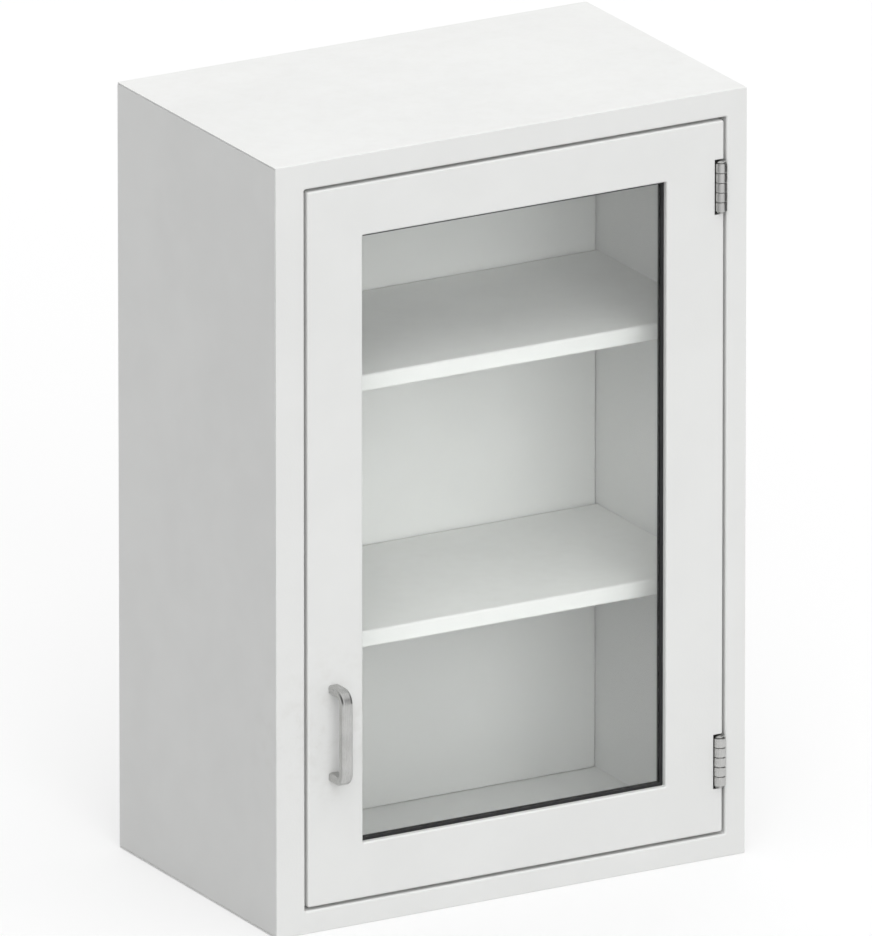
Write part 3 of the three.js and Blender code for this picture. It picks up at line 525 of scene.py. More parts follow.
def other_axes(axis):
    """The two axes that lie across a given one."""
    return [other for other in (X, Y, Z) if other != axis]


def capped_rings(grid):
    """A closed surface through rings in order, with a flat face across the first and the last."""
    rows, columns = grid.shape[:2]
    caps = [list(range(columns)), list(range((rows - 1) * columns, rows * columns))]
    return grid.reshape(-1, 3), grid_quads(rows, columns, close_columns=True).tolist() + caps


def eased_plate(lowest, highest, axis, corner, ease, steps=4):
    """A flat plate, thin along one axis, with rounded corners and both edges eased by a quarter circle: the
    outline shrinks by ease x (1 - sin) as the depth moves in by ease x (1 - cos)."""
    first, second = other_axes(axis)
    quarter = np.linspace(0, math.pi / 2, steps + 1)
    shrink = ease * np.concatenate([1 - np.sin(quarter), 1 - np.sin(quarter[::-1])])
    depth = np.concatenate([lowest[axis] + ease * (1 - np.cos(quarter)),
                            highest[axis] - ease * (1 - np.cos(quarter[::-1]))])
    rect = (lowest[first] + shrink, highest[first] - shrink,
            lowest[second] + shrink, highest[second] - shrink)
    one, two = rounded_ring(rect, np.maximum(corner - shrink, LEAST_CORNER), steps=steps)
    grid = np.zeros(one.shape + (3,))
    grid[..., first], grid[..., second], grid[..., axis] = one, two, depth[:, None]
    return capped_rings(grid)


print("a plate has", len(eased_plate((0, 0, 0), (1, 1, 1), Y, 0.1, 0.01)[0]), "points")

# %% [markdown]
# ## Putting a piece in place
#
# A finished piece takes its body and its slot from the CAD node that it stands for, so it moves and is
# painted as that node is. Its points already lie where they belong, and the object stays at the origin.
# Doubled points are merged first and the faces turned outwards. Weighted normals keep wide faces flat next to
# narrow round edges, where plain smooth shading would leave them looking dented.

# %% A new object
MERGE_DISTANCE = 0.002 * MM
FLAT_ANGLE = math.radians(1)


def clean(mesh, join_flat=False):
    """Merges doubled points, turns the faces outwards, and where asked joins triangles of one flat face."""
    solid = bmesh.new()
    solid.from_mesh(mesh)
    bmesh.ops.remove_doubles(solid, verts=solid.verts, dist=MERGE_DISTANCE)
    bmesh.ops.recalc_face_normals(solid, faces=solid.faces)
    if join_flat:
        bmesh.ops.dissolve_limit(solid, angle_limit=FLAT_ANGLE, verts=solid.verts, edges=solid.edges)
    solid.to_mesh(mesh)
    solid.free()


def new_object(name, shape, way=None):
    """An object at the origin from points and faces. A way is one vector for each point, for its grain."""
    mesh = bpy.data.meshes.new(name)
    mesh.from_pydata(shape[0].tolist(), [], shape[1])
    if way is not None:
        mesh.attributes.new(BAR_WAY, "FLOAT_VECTOR", "POINT").data.foreach_set("vector", way.ravel())
    clean(mesh)
    made = bpy.data.objects.new(name, mesh)
    bpy.context.scene.collection.objects.link(made)
    return made


print("points closer than", MERGE_DISTANCE / MM, "mm are merged")

# %% Dress and place a piece
SHARP_ANGLE = math.radians(38)
EASED_ANGLE = math.radians(50)


def dress(piece, nodes, ease=0.0, finish=None):
    """Shades a piece, eases its sharp edges, and lets it stand for CAD nodes of one body and one slot. Its
    finish is the slot's own, or another one named."""
    piece.data.shade_smooth()
    piece.data.set_sharp_from_angle(angle=SHARP_ANGLE)
    piece.data.materials.clear()
    piece.data.materials.append(FINISHES[finish or SLOT_OF[nodes[0]]])
    if ease:
        edges = piece.modifiers.new("eased edges", "BEVEL")
        edges.width = ease
        edges.segments = 2
        edges.limit_method = "ANGLE"
        edges.angle_limit = EASED_ANGLE
    flats = piece.modifiers.new("flat faces", "WEIGHTED_NORMAL")
    flats.keep_sharp = True
    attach(piece, BODY_OF[nodes[0]])
    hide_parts(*nodes)
    return piece


def place_piece(name, shape, *nodes, ease=0.0):
    """A new object from a shape, standing for its CAD nodes."""
    return dress(new_object(name, shape), nodes, ease)


print("ready to place pieces")

# %% [markdown]
# ## The carcass
#
# Side panels, top and bottom are cut sheets, spot welded and painted together. One box with four walls would
# look the same from far off. Four plates leave the hairline where two sheets meet, which is what makes a
# welded case look like one.

# %% Carcass panels
PANEL_EASE = 0.6 * MM
PANEL_CORNER = 1.0 * MM
PANELS = {"left_side_panel": X, "right_side_panel": X, "top_panel": Z, "bottom_panel": Z}
for node, axis in PANELS.items():
    place_piece(node + "_sheet", eased_plate(*span(node), axis, PANEL_CORNER, PANEL_EASE), node)
print(len(PANELS), "carcass panels")

# %% [markdown]
# ## Folded and pressed sheets
#
# A press brake leaves a radius at every fold. The fold could be a sharp corner with a Bevel modifier, but a
# sheet has two faces and their radii differ by its thickness. So the middle line of the sheet is bent first:
# a bend of angle a starts radius x tan(a / 2) before the corner and follows an arc. The two faces lie half a
# thickness to either side of that line.


# %% Sheets with two faces
def thicken(front, back, quads):
    """A closed sheet: the front's quads, the back's turned over, and a rim quad along each edge that only one
    quad uses. Points that no quad uses are left out."""
    count = len(front)
    edges = np.stack([quads, np.roll(quads, -1, axis=1)], -1).reshape(-1, 2)
    key = edges.min(axis=1) * count + edges.max(axis=1)
    first, uses = np.unique(key, return_index=True, return_counts=True)[1:]
    start, end = edges[first[uses == 1]].T
    rim = np.stack([end, start, start + count, end + count], -1)
    faces = np.concatenate([quads, quads[:, ::-1] + count, rim])
    used, numbers = np.unique(faces, return_inverse=True)
    return np.concatenate([front, back])[used], numbers.reshape(-1, 4).tolist()


def closed_sheet(front, back, quads, holes=()):
    """A closed sheet between two grids of points. A hole is a box (lowest corner, highest corner), and every
    quad whose middle lies in one is left out, which gives the hole walls of its own."""
    front, back = front.reshape(-1, 3), back.reshape(-1, 3)
    middles = ((front + back) / 2)[quads].mean(axis=1)
    keep = np.ones(len(quads), bool)
    for lowest, highest in holes:
        keep &= ~np.all((middles > lowest) & (middles < highest), axis=1)
    return thicken(front, back, quads[keep])


flat = np.zeros((2, 2, 3))
print("one thick quad has", len(closed_sheet(flat, flat, grid_quads(2, 2))[1]), "faces")

# %% Bent lines
STRAIGHT = 1e-6


def bent_path(corners, radius, steps=6):
    """The middle line of a folded strip, with its left-hand normals. Points on a straight run stay as given;
    at a corner the line turns on an arc about a centre one radius to the side that it turns to."""
    corners = np.asarray(corners, float)
    runs = np.diff(corners, axis=0)
    runs /= np.linalg.norm(runs, axis=1, keepdims=True)
    left = np.stack([-runs[:, 1], runs[:, 0]], -1)
    points, normals = [corners[:1]], [left[:1]]
    for i in range(1, len(corners) - 1):
        turn = math.atan2(-(runs[i - 1] @ left[i]), runs[i - 1] @ runs[i])
        side = np.sign(turn)
        start = corners[i] - runs[i - 1] * radius * math.tan(abs(turn) / 2)
        angles = np.linspace(0, turn, steps + 1) if abs(turn) > STRAIGHT else np.zeros(1)
        turned_left = np.cos(angles)[:, None] * left[i - 1] - np.sin(angles)[:, None] * runs[i - 1]
        points.append(start + side * radius * (left[i - 1] - turned_left))
        normals.append(turned_left)
    return np.concatenate(points + [corners[-1:]]), np.concatenate(normals + [left[-1:]])


print("a line with one bend has", len(bent_path([(0, 0), (1, 0), (1, 1)], 0.1)[0]), "points")

# %% [markdown]
# ## The face frame
#
# The face frame is welded from two stiles and two rails and ground flush, so no seam shows. Its four members
# could be four folded strips that meet at the corners, but then their returns and lips would have to be
# mitred. Here one bent line, face, bend, return, bend, stop lip, is carried round the door opening as rings,
# and the ring is parted at the corners, so that every member stays a piece of its own.

# %% Rings round an opening
LEAST_RING_CORNER = 0.2 * MM
EASE_POINTS = 5


def shrunk(outline, by):
    """An outline (x0, x1, z0, z1) moved in by one distance, or by each of an array, on all four sides."""
    return outline[0] + by, outline[1] - by, outline[2] + by, outline[3] - by


def rings(outline, inset, depth, corner, **stops):
    """Rings at an inset from an outline and at a depth along Y. Corners stay concentric."""
    inset = np.asarray(inset, float)
    xs, zs = rounded_ring(shrunk(outline, inset), np.maximum(corner - inset, LEAST_RING_CORNER), **stops)
    return np.stack([xs, np.broadcast_to(np.asarray(depth)[:, None], xs.shape), zs], -1)


def eased_start(line, normals, thickness, ease):
    """Rounds a strip's first edge with a quarter circle: at angle a the line starts ease x (1 - cos a)
    further in, and the sheet is thinner by 2 x ease x (1 - sin a)."""
    angle = np.linspace(0, math.pi / 2, EASE_POINTS)
    run = (line[1] - line[0]) / np.linalg.norm(line[1] - line[0])
    line = np.concatenate([line[0] + ease * (1 - np.cos(angle))[:, None] * run, line[1:]])
    normals = np.concatenate([np.repeat(normals[:1], EASE_POINTS, axis=0), normals[1:]])
    thick = np.full(len(line), thickness)
    thick[:EASE_POINTS] -= 2 * ease * (1 - np.sin(angle))
    return line, normals, thick


print("rings keep a corner of at least", LEAST_RING_CORNER / MM, "mm")


# %% Sheets pressed round an opening
def pressed_rings(legs, thickness, bend, ease=0.0, **stops):
    """The two faces of a sheet pressed round an opening, as grids of rings. A leg is (outline, corner radius,
    bent line of (inset, depth)), and the legs follow each other with the flat face between them. With an
    ease, the first leg's free edge is rounded."""
    grids = []
    for side in (0.5, -0.5):
        parts = []
        for number, (outline, corner, corners) in enumerate(legs):
            line, normals = bent_path(corners, bend)
            thick = np.full(len(line), thickness)
            if ease and number == 0:
                line, normals, thick = eased_start(line, normals, thickness, ease)
            flat = line + normals * thick[:, None] * side
            parts.append(rings(outline, flat[:, 0], flat[:, 1], corner, **stops))
        grids.append(np.concatenate(parts))
    return grids


def ring_sheet(front, back, holes=(), columns=None):
    """A closed sheet from two ring grids, all the way round or from one of their columns to another."""
    if columns is None:
        return closed_sheet(front, back, grid_quads(*front.shape[:2], close_columns=True), holes)
    chosen = np.arange(columns[0], columns[1] + 1) % front.shape[1]
    return closed_sheet(front[:, chosen], back[:, chosen], grid_quads(len(front), len(chosen)), holes)


print("sheets can be pressed round an opening")


# %% Face frame sizes
def seen_from_front(lowest, highest):
    """A box seen from the front: left, right, lower and upper edge."""
    return lowest[X], highest[X], lowest[Z], highest[Z]


DOOR_GAP = 3 * MM
BODY_SHEET = 1.5 * MM
STOP_LIP = 14 * MM
FRAME_BEND = 1.5 * MM
FRAME_CORNER = 1.0 * MM
FRAME_EASE = 0.5 * MM
OPENING_CORNER = 1.5 * MM
OUTER_RUN = 12 * MM
INNER_RUN = 6 * MM
latch_low, latch_high = span("latch_frame_stile")
hinge_high = span("hinge_frame_stile")[1]
door_low, door_high = span("door_front_skin")
OUTLINE = seen_from_front(latch_low, hinge_high)
DOOR = seen_from_front(door_low, door_high)
OPENING = shrunk(DOOR, -DOOR_GAP)
FRONT = latch_low[Y]
STOP_BACK = latch_high[Y]
print("opening", np.round(OPENING, 4))

# %% Catch cut-out in the top stop lip
BEZEL_EDGE = 1.6 * MM
catch_low, catch_high = span("catch_housing")
cut_out = ((catch_low[X] + BEZEL_EDGE, STOP_BACK - 2 * BODY_SHEET, catch_low[Z] + BEZEL_EDGE),
           (catch_high[X] - BEZEL_EDGE, STOP_BACK + BODY_SHEET, catch_high[Z] - BEZEL_EDGE))
print("cut-out", np.round(cut_out, 4).tolist())

# %% Face frame
half = BODY_SHEET / 2
face, lip = FRONT + half, STOP_BACK - half
outer_leg = (OUTLINE, FRAME_CORNER, [(0.0, face), (OUTER_RUN, face)])
inner_leg = (OPENING, OPENING_CORNER,
             [(-INNER_RUN, face), (-half, face), (-half, lip), (OPENING[3] - cut_out[1][Z], lip),
              (OPENING[3] - cut_out[0][Z], lip), (STOP_LIP, lip)])
top_stops = (OPENING[1], cut_out[1][X], cut_out[0][X], OPENING[0])
bottom_stops = (OPENING[0], OPENING[1])
front, back = pressed_rings([outer_leg, inner_leg], BODY_SHEET, FRAME_BEND, ease=FRAME_EASE,
                            top=top_stops, bottom=bottom_stops)
# A ring starts at its lower right corner, so the top's stops follow two corners, and the bottom's two more.
two_corners = 2 * (CORNER_STEPS + 1)
top_first = two_corners
top_last = top_first + len(top_stops) - 1
bottom_first = top_last + 1 + two_corners
bottom_last = bottom_first + len(bottom_stops) - 1
MEMBERS = {"top_frame_rail": (top_first, top_last), "latch_frame_stile": (top_last, bottom_first),
           "bottom_frame_rail": (bottom_first, bottom_last),
           "hinge_frame_stile": (bottom_last, top_first + front.shape[1])}
for node, columns in MEMBERS.items():
    place_piece(node + "_fold", ring_sheet(front, back, [cut_out], columns), node)
print("face frame ring of", front.shape[1], "points in", front.shape[0], "rows")

# %% [markdown]
# ## The back
#
# The back is a shallow pan welded in from the rear, its rim turned back towards the wall. Two steel channels
# behind it carry the cabinet, and the upper one and the pan have two round holes for the wall screws.
# A hole could be left out of the grid, but a grid gives it square edges. A Boolean with a turned cylinder
# cuts it round, and its result is kept as the mesh.


# %% Turned shapes
def turned(profile, centre, axis, steps=32, closed=False):
    """A profile of (radius, height) spun round an axis through a centre. A closed profile makes a ring."""
    profile = np.asarray(profile, float)
    angles = np.linspace(0, 2 * math.pi, steps, endpoint=False)
    first, second = other_axes(axis)
    grid = np.zeros((len(profile), steps, 3))
    grid[..., first] = profile[:, :1] * np.cos(angles)
    grid[..., second] = profile[:, :1] * np.sin(angles)
    grid[..., axis] = profile[:, 1:]
    quads = grid_quads(len(profile), steps, close_rows=closed, close_columns=True)
    return (grid + np.asarray(centre)).reshape(-1, 3), quads.tolist()


def gather(*shapes):
    """Several closed shapes, all of quads, as one array of points and one list of faces."""
    offsets = np.cumsum([0] + [len(points) for points, _ in shapes[:-1]])
    quads = [np.asarray(faces) + offset for (_, faces), offset in zip(shapes, offsets)]
    return np.concatenate([points for points, _ in shapes]), np.concatenate(quads).tolist()


print("a turned line of two points has", len(turned([(1, 0), (1, 1)], (0, 0, 0), Z)[1]), "faces")


# %% Drilling
def pierce(piece, holes, radius, axis, length):
    """Cuts round holes through a piece with cylinders, then keeps the result as its mesh."""
    profile = [(0, -length), (radius, -length), (radius, length), (0, length)]
    drill = new_object("drill", gather(*(turned(profile, hole, axis, steps=48) for hole in holes)))
    cut = piece.modifiers.new("holes", "BOOLEAN")
    cut.object = drill
    bpy.context.view_layer.update()
    piece.data = bpy.data.meshes.new_from_object(piece.evaluated_get(bpy.context.evaluated_depsgraph_get()))
    piece.modifiers.remove(cut)
    bpy.data.objects.remove(drill)
    return piece


HANGING_RADIUS = 4.5 * MM
HANGING_APART = 406.4 * MM
DRILL_LENGTH = 40 * MM
rail_low, rail_high = span("upper_hanging_rail")
hole_height = (rail_low[Z] + rail_high[Z]) / 2
holes = [(side * HANGING_APART / 2, rail_high[Y], hole_height) for side in (-1, 1)]
hanging_holes = (holes, HANGING_RADIUS, Y, DRILL_LENGTH)
print("holes at", np.round(holes, 4).tolist())

# %% Back pan
PAN_SHEET = 1.2 * MM
PAN_CORNER = 3 * MM
PAN_BEND = 1.6 * MM
PAN_RUN = 8 * MM
back_low, back_high = span("back_panel")
half = PAN_SHEET / 2
floor_of_pan = back_low[Y] + half
pan_leg = (seen_from_front(back_low, back_high), PAN_CORNER,
           [(half, back_high[Y]), (half, floor_of_pan), (PAN_RUN, floor_of_pan)])
front, back = pressed_rings([pan_leg], PAN_SHEET, PAN_BEND)
pan_shape = capped_rings(np.concatenate([front[::-1], back]))
back_pan = dress(pierce(new_object("back_panel_pan", pan_shape), *hanging_holes), ("back_panel",))
print("back pan", len(back_pan.data.polygons), "faces")


# %% Folded strips
def folded_strip(plane, corners, radius, thickness, stations, holes=()):
    """A bent line in a plane such as "yz", carried along the third axis over the stations."""
    line, normals = bent_path(corners, radius)
    along = ({"x", "y", "z"} - set(plane)).pop()
    order = ["xyz".index(name) for name in (plane[0], plane[1], along)]
    flat = line + normals * thickness * np.array([0.5, -0.5])[:, None, None]
    faces = np.zeros((2, len(line), len(stations), 3))
    faces[..., order[0]] = flat[..., :1]
    faces[..., order[1]] = flat[..., 1:]
    faces[..., order[2]] = stations
    return closed_sheet(faces[0], faces[1], grid_quads(len(line), len(stations)), holes)


straight = folded_strip("yz", [(0, 0), (1, 0)], 0.1, 0.1, (0, 1))
print("a straight strip has", len(straight[1]), "faces")

# %% Hanging rails
RAIL_SHEET = 2 * MM
RAIL_BEND = 2.6 * MM
half = RAIL_SHEET / 2
for node in ("upper_hanging_rail", "lower_hanging_rail"):
    lowest, highest = span(node)
    channel = [(lowest[Y], lowest[Z] + half), (highest[Y] - half, lowest[Z] + half),
               (highest[Y] - half, highest[Z] - half), (lowest[Y], highest[Z] - half)]
    strip = folded_strip("yz", channel, RAIL_BEND, RAIL_SHEET, (lowest[X], highest[X]))
    rail = new_object(node + "_channel", strip)
    if node.startswith("upper"):
        pierce(rail, *hanging_holes)
    dress(rail, (node,))
print("two hanging rails, the upper one drilled")

# %% [markdown]
# ## Shelves and their rests
#
# Each shelf lies loose on four steel angles welded to the side walls, and can be lifted off them. A rest is
# one bend carried along Y. A shelf is one sheet, folded down at front and rear and folded in again, which
# makes its edges stiff and blunt. A plain board would look the same from above, but its underside shows when
# the door is open, and a real one is hollow.

# %% Shelf rests
REST_SHEET = 1.5 * MM
REST_BEND = 1.8 * MM
REST_EASE = 0.25 * MM
rests = [name for name in BODY_OF if "_shelf_rest_" in name]
half = REST_SHEET / 2
for node in rests:
    lowest, highest = span(node)
    wall, inner = (lowest[X] + half, highest[X]) if lowest[X] < 0 else (highest[X] - half, lowest[X])
    angle = [(wall, lowest[Z]), (wall, highest[Z] - half), (inner, highest[Z] - half)]
    strip = folded_strip("xz", angle, REST_BEND, REST_SHEET, (lowest[Y], highest[Y]))
    place_piece(node + "_angle", strip, node, ease=REST_EASE)
print(len(rests), "shelf rests")

# %% Shelves
SHELF_SHEET = 1.2 * MM
SHELF_BEND = 1.8 * MM
SHELF_RETURN = 12 * MM
SHELF_EASE = 0.2 * MM
half = SHELF_SHEET / 2
for node in ("upper_shelf", "lower_shelf"):
    lowest, highest = span(node)
    near, rear = lowest[Y] + half, highest[Y] - half
    fold, top = lowest[Z] + half, highest[Z] - half
    section = [(lowest[Y] + SHELF_RETURN, fold), (near, fold), (near, top), (rear, top), (rear, fold),
               (highest[Y] - SHELF_RETURN, fold)]
    strip = folded_strip("yz", section, SHELF_BEND, SHELF_SHEET, (lowest[X], highest[X]))
    place_piece(node + "_sheet", strip, node, ease=SHELF_EASE)
print("two shelves of", np.round((highest - lowest) / MM, 1), "mm")

# %% [markdown]
# ## The door
#
# The door is a box of two sheets. The front skin turns back along the outer edge and into the window. The
# back pan slips inside the skin's edge, and its own window wall reaches forward. A solid slab with a window
# would hide both seams, and they show on the open door's edge. Both sheets are pressed rings. The hinge
# barrels need room, so the skin has a notch at each hinge, made by leaving quads out.

# %% Door sizes
DOOR_SHEET = 1.2 * MM
DOOR_BEND = 1.4 * MM
DOOR_EASE = 0.2 * MM
DOOR_CORNER = 2.2 * MM
FIT_GAP = 0.3 * MM
GASKET_REACH = 9.8 * MM
gasket_low, gasket_high = span("glazing_gasket")
WINDOW = shrunk(seen_from_front(gasket_low, gasket_high), GASKET_REACH)
WINDOW_CORNER = 1.2 * MM
WINDOW_RUN = 8 * MM
REVEAL = 6 * MM
DOOR_BACK = door_high[Y]
hinge_box = {end: span(end + "_hinge_pin") for end in ("upper", "lower")}
HINGE_X = float(np.mean(hinge_box["upper"], axis=0)[X])
BARREL = span("upper_hinge_frame_leaf")[1][X] - HINGE_X
print("hinge axis at x", round(HINGE_X, 4), "with a barrel radius of", round(BARREL / MM, 2), "mm")

# %% Hinge notches
NOTCH_ROOM = 0.8 * MM
NOTCH_REACH = BARREL + NOTCH_ROOM
NOTCH_MARGIN = 1.1 * MM
notch_left = HINGE_X - NOTCH_REACH
notch_heights = sorted(z for lowest, highest in hinge_box.values()
                       for z in (lowest[Z] - NOTCH_MARGIN, highest[Z] + NOTCH_MARGIN))
notches = [((notch_left, FRONT - MM, bottom), (DOOR[1] + MM, FRONT + NOTCH_REACH, top))
           for bottom, top in zip(notch_heights[::2], notch_heights[1::2])]
print("hinge notches at", np.round(notch_heights, 4).tolist())

# %% Door skin
half = DOOR_SHEET / 2
face = FRONT + half
skin_outer = (DOOR, DOOR_CORNER, [(half, DOOR_BACK), (half, FRONT + NOTCH_REACH), (half, face),
                                  (DOOR[1] - notch_left, face)])
skin_inner = (WINDOW, WINDOW_CORNER, [(-WINDOW_RUN, face), (-half, face), (-half, FRONT + REVEAL)])
front, back = pressed_rings([skin_outer, skin_inner], DOOR_SHEET, DOOR_BEND, right=notch_heights)
place_piece("door_front_skin_press", ring_sheet(front, back, notches), "door_front_skin", ease=DOOR_EASE)
print("door skin of", front.shape[0], "rings")

# %% Door back pan
PAN_FLANGE = 6 * MM
DOOR_PAN_CORNER = 2.0 * MM
DOOR_PAN_RUN = 10 * MM
POCKET_REACH = GASKET_REACH + FIT_GAP
POCKET_CORNER = 4.0 * MM
pan_low, pan_high = span("door_back_pan")
pocket = shrunk(WINDOW, -POCKET_REACH)
rear_face = DOOR_BACK - half
pan_outer = (seen_from_front(pan_low, pan_high), DOOR_PAN_CORNER,
             [(half, DOOR_BACK - PAN_FLANGE), (half, rear_face), (DOOR_PAN_RUN, rear_face)])
pan_inner = (pocket, POCKET_CORNER, [(-WINDOW_RUN, rear_face), (-half, rear_face), (-half, pan_low[Y])])
front, back = pressed_rings([pan_outer, pan_inner], DOOR_SHEET, DOOR_BEND)
place_piece("door_back_pan_press", ring_sheet(front, back), "door_back_pan", ease=DOOR_EASE)
print("door back pan of", front.shape[0], "rings")

# %% [markdown]
# ## Glazing
#
# The pane is ground and polished along its edge. A rubber channel goes round that edge, and from the front
# its lips are the dark line round the window. The channel could be a curve with a bevel profile, but a curve
# pinches its profile at tight corners, so its section is carried round the window as rings too. Four folded
# strips, mitred at the corners, press it into the door from behind.

# %% Glass pane
PANE_CORNER = 3 * MM
PANE_EASE = 0.8 * MM
glass_low, glass_high = span("glass_pane")
polished = eased_plate(glass_low, glass_high, Y, PANE_CORNER, PANE_EASE)
place_piece("glass_pane_polished", polished, "glass_pane")
print("glass", np.round((glass_high - glass_low) / MM, 1))


# %% Rounded sections
def rounded_section(corners, radii, steps=5):
    """A closed outline of right angles, each corner turned on a quarter circle of its own radius."""
    corners = np.asarray(corners, float)
    to_last = np.roll(corners, 1, axis=0) - corners
    to_next = np.roll(corners, -1, axis=0) - corners
    to_last /= np.linalg.norm(to_last, axis=1, keepdims=True)
    to_next /= np.linalg.norm(to_next, axis=1, keepdims=True)
    radii = np.broadcast_to(np.asarray(radii, float), len(corners))[:, None, None]
    share = np.linspace(0, math.pi / 2, steps + 1)[None, :, None]
    return (corners[:, None] + radii * ((1 - np.sin(share)) * to_last[:, None] +
                                        (1 - np.cos(share)) * to_next[:, None])).reshape(-1, 2)


print("a rounded square has", len(rounded_section([(0, 0), (1, 0), (1, 1), (0, 1)], 0.1)), "points")

# %% Glazing gasket
SIGHT = 3.0 * MM
LIP = 1.5 * MM
LIP_RADII = np.array([0.6, 0.9, 0.55, 0.3, 0.3, 0.55, 0.9, 0.6]) * MM
y0, y1 = gasket_low[Y], gasket_high[Y]
groove = LIP - GASKET_REACH
channel = [(-GASKET_REACH, y0), (SIGHT, y0), (SIGHT, y0 + LIP), (groove, y0 + LIP), (groove, y1 - LIP),
           (SIGHT, y1 - LIP), (SIGHT, y1), (-GASKET_REACH, y1)]
section = rounded_section(channel, LIP_RADII)
loop = rings(WINDOW, section[:, 0], section[:, 1], WINDOW_CORNER)
quads = grid_quads(*loop.shape[:2], close_rows=True, close_columns=True).tolist()
place_piece("glazing_gasket_rubber", (loop.reshape(-1, 3), quads), "glazing_gasket")
print("gasket section of", len(section), "points")

# %% Glass stops
STOP_SHEET = 1.2 * MM
STOP_BEND = 1.4 * MM
STOP_WALL = POCKET_REACH - FIT_GAP
STOP_EASE = 0.15 * MM


def mitred_stop(node):
    """A folded strip beside the window whose ends are cut at 45 degrees: a point at height w above the
    window's edge lies w further out along it."""
    lowest, highest = span(node)
    flat, rise = (X, Z) if highest[X] - lowest[X] > highest[Z] - lowest[Z] else (Z, X)
    outward = 1.0 if lowest[rise] + highest[rise] > WINDOW[rise] + WINDOW[rise + 1] else -1.0
    edge = lowest[rise] if outward > 0 else highest[rise]
    tall = highest[rise] - lowest[rise]
    half = STOP_SHEET / 2
    line = [(lowest[Y] + half, 0.0), (lowest[Y] + half, STOP_WALL - half),
            (highest[Y] - half, STOP_WALL - half), (highest[Y] - half, tall)]
    middle, normals = bent_path(line, STOP_BEND)
    bent = middle + normals * STOP_SHEET * np.array([0.5, -0.5])[:, None, None]
    faces = np.zeros((2, len(middle), 2, 3))
    faces[..., Y] = bent[..., :1]
    faces[..., rise] = edge + outward * bent[..., 1:]
    faces[..., 0, flat] = lowest[flat] + tall - bent[..., 1]
    faces[..., 1, flat] = highest[flat] - tall + bent[..., 1]
    return closed_sheet(faces[0], faces[1], grid_quads(len(middle), 2))


STOPS = ["glass_stop_" + side for side in ("top", "hinge", "bottom", "latch")]
for node in STOPS:
    place_piece(node + "_strip", mitred_stop(node), node, ease=STOP_EASE)
print(len(STOPS), "glass stops")

# %% [markdown]
# ## Screws
#
# The screws are small pan heads with a cross recess. A head could be a cylinder with a texture of a cross,
# but the recess catches light, so it is shaped. Rings round the screw's axis run over the dome, in along the
# seat, down the shank and across its end. The recess is a dip in the dome's height: deep where a point lies
# in one of two crossing arms, fading out towards the rim.

# %% A pan head screw
CROSS_ARM = 0.13
CROSS_REACH = 0.56
CROSS_DEPTH = 0.6
CROSS_SLOPE = 0.05
CROSS_FADE = 0.08


def pan_screw(seat, radius, height, shank, length):
    """A screw whose head looks along +Y from its seat. At share s of the radius the dome's height is
    height x (0.25 + 0.75 (1 - s^2.6)^0.45), and the cross takes a share of the height away where a point lies
    within half an arm's width of an axis and within the cross's reach."""
    # Rings lie closer together near the rim, where the dome falls away fastest.
    share = np.concatenate([np.linspace(0, 0.62, 15), np.linspace(0.68, 1, 10)])[:, None]
    angles = np.linspace(0, 2 * math.pi, 64, endpoint=False)[None, :]
    rise = height * (0.25 + 0.75 * (1 - share ** 2.6) ** 0.45)
    off_axis = share * np.minimum(np.abs(np.cos(angles)), np.abs(np.sin(angles)))
    in_arm = np.clip((CROSS_ARM - off_axis) / CROSS_SLOPE, 0, 1)
    recess = in_arm * np.clip((CROSS_REACH - share) / CROSS_FADE, 0, 1)
    below = np.array([(radius, 0), (shank, 0), (shank, -length), (0, -length)])[:, :, None]
    reach = np.concatenate([radius * share, below[:, 0]])
    depth = np.concatenate([rise - CROSS_DEPTH * height * recess, below[:, 1] + 0 * angles])
    grid = np.stack([reach * np.cos(angles), depth, reach * np.sin(angles)], -1)
    quads = grid_quads(len(grid), angles.size, close_columns=True)
    return (grid + seat).reshape(-1, 3), quads.tolist()


print("a screw has", len(pan_screw((0, 0, 0), 1, 1, 0.5, 3)[0]), "points")

# %% Screws
HEAD_HEIGHT = {"glass_stop_screw": 1.8 * MM, "strike_screw": 1.4 * MM}
SHANK_RADIUS = 1.5 * MM
for kind, head in HEAD_HEIGHT.items():
    screws = [name for name in BODY_OF if name.startswith(kind)]
    for node in screws:
        lowest, highest = span(node)
        seat = (lowest + highest) / 2
        seat[Y] = highest[Y] - head
        radius = (highest[X] - lowest[X]) / 2
        place_piece(node + "_cross", pan_screw(seat, radius, head, SHANK_RADIUS, seat[Y] - lowest[Y]), node)
    print(len(screws), kind)

# %% [markdown]
# ## The pull
#
# The pull is a flat steel bar bent twice, so that its two feet stand on the door. A bevelled curve would give
# the bar, but not its flat section with round edges at every bend. A rounded section follows the bent line
# instead, each point of it a step along the line's normal and a step across in X. The bar was brushed before
# it was bent, so each point also keeps its place on the straight bar, and the grain follows that.

# %% Pull
BAR_THICK = 8.5 * MM
BAR_BEND = 9.75 * MM
BAR_ROUND = 2.4 * MM
pull_low, pull_high = span("door_pull")
half = BAR_THICK / 2
wide = (pull_high[X] - pull_low[X]) / 2
line = [(pull_high[Y], pull_high[Z] - half), (pull_low[Y] + half, pull_high[Z] - half),
        (pull_low[Y] + half, pull_low[Z] + half), (pull_high[Y], pull_low[Z] + half)]
middle, normals = bent_path(line, BAR_BEND, steps=14)
section = rounded_section([(-wide, -half), (wide, -half), (wide, half), (-wide, half)], BAR_ROUND, steps=8)
bar = np.zeros((len(middle), len(section), 3))
bar[..., X] = (pull_low[X] + pull_high[X]) / 2 + section[:, 0]
bar[..., 1:] = middle[:, None] + normals[:, None] * section[None, :, 1:]
way = np.zeros(bar.shape)
way[..., :2] = section
way[1:, :, 2] = np.cumsum(np.linalg.norm(np.diff(middle, axis=0), axis=1))[:, None]
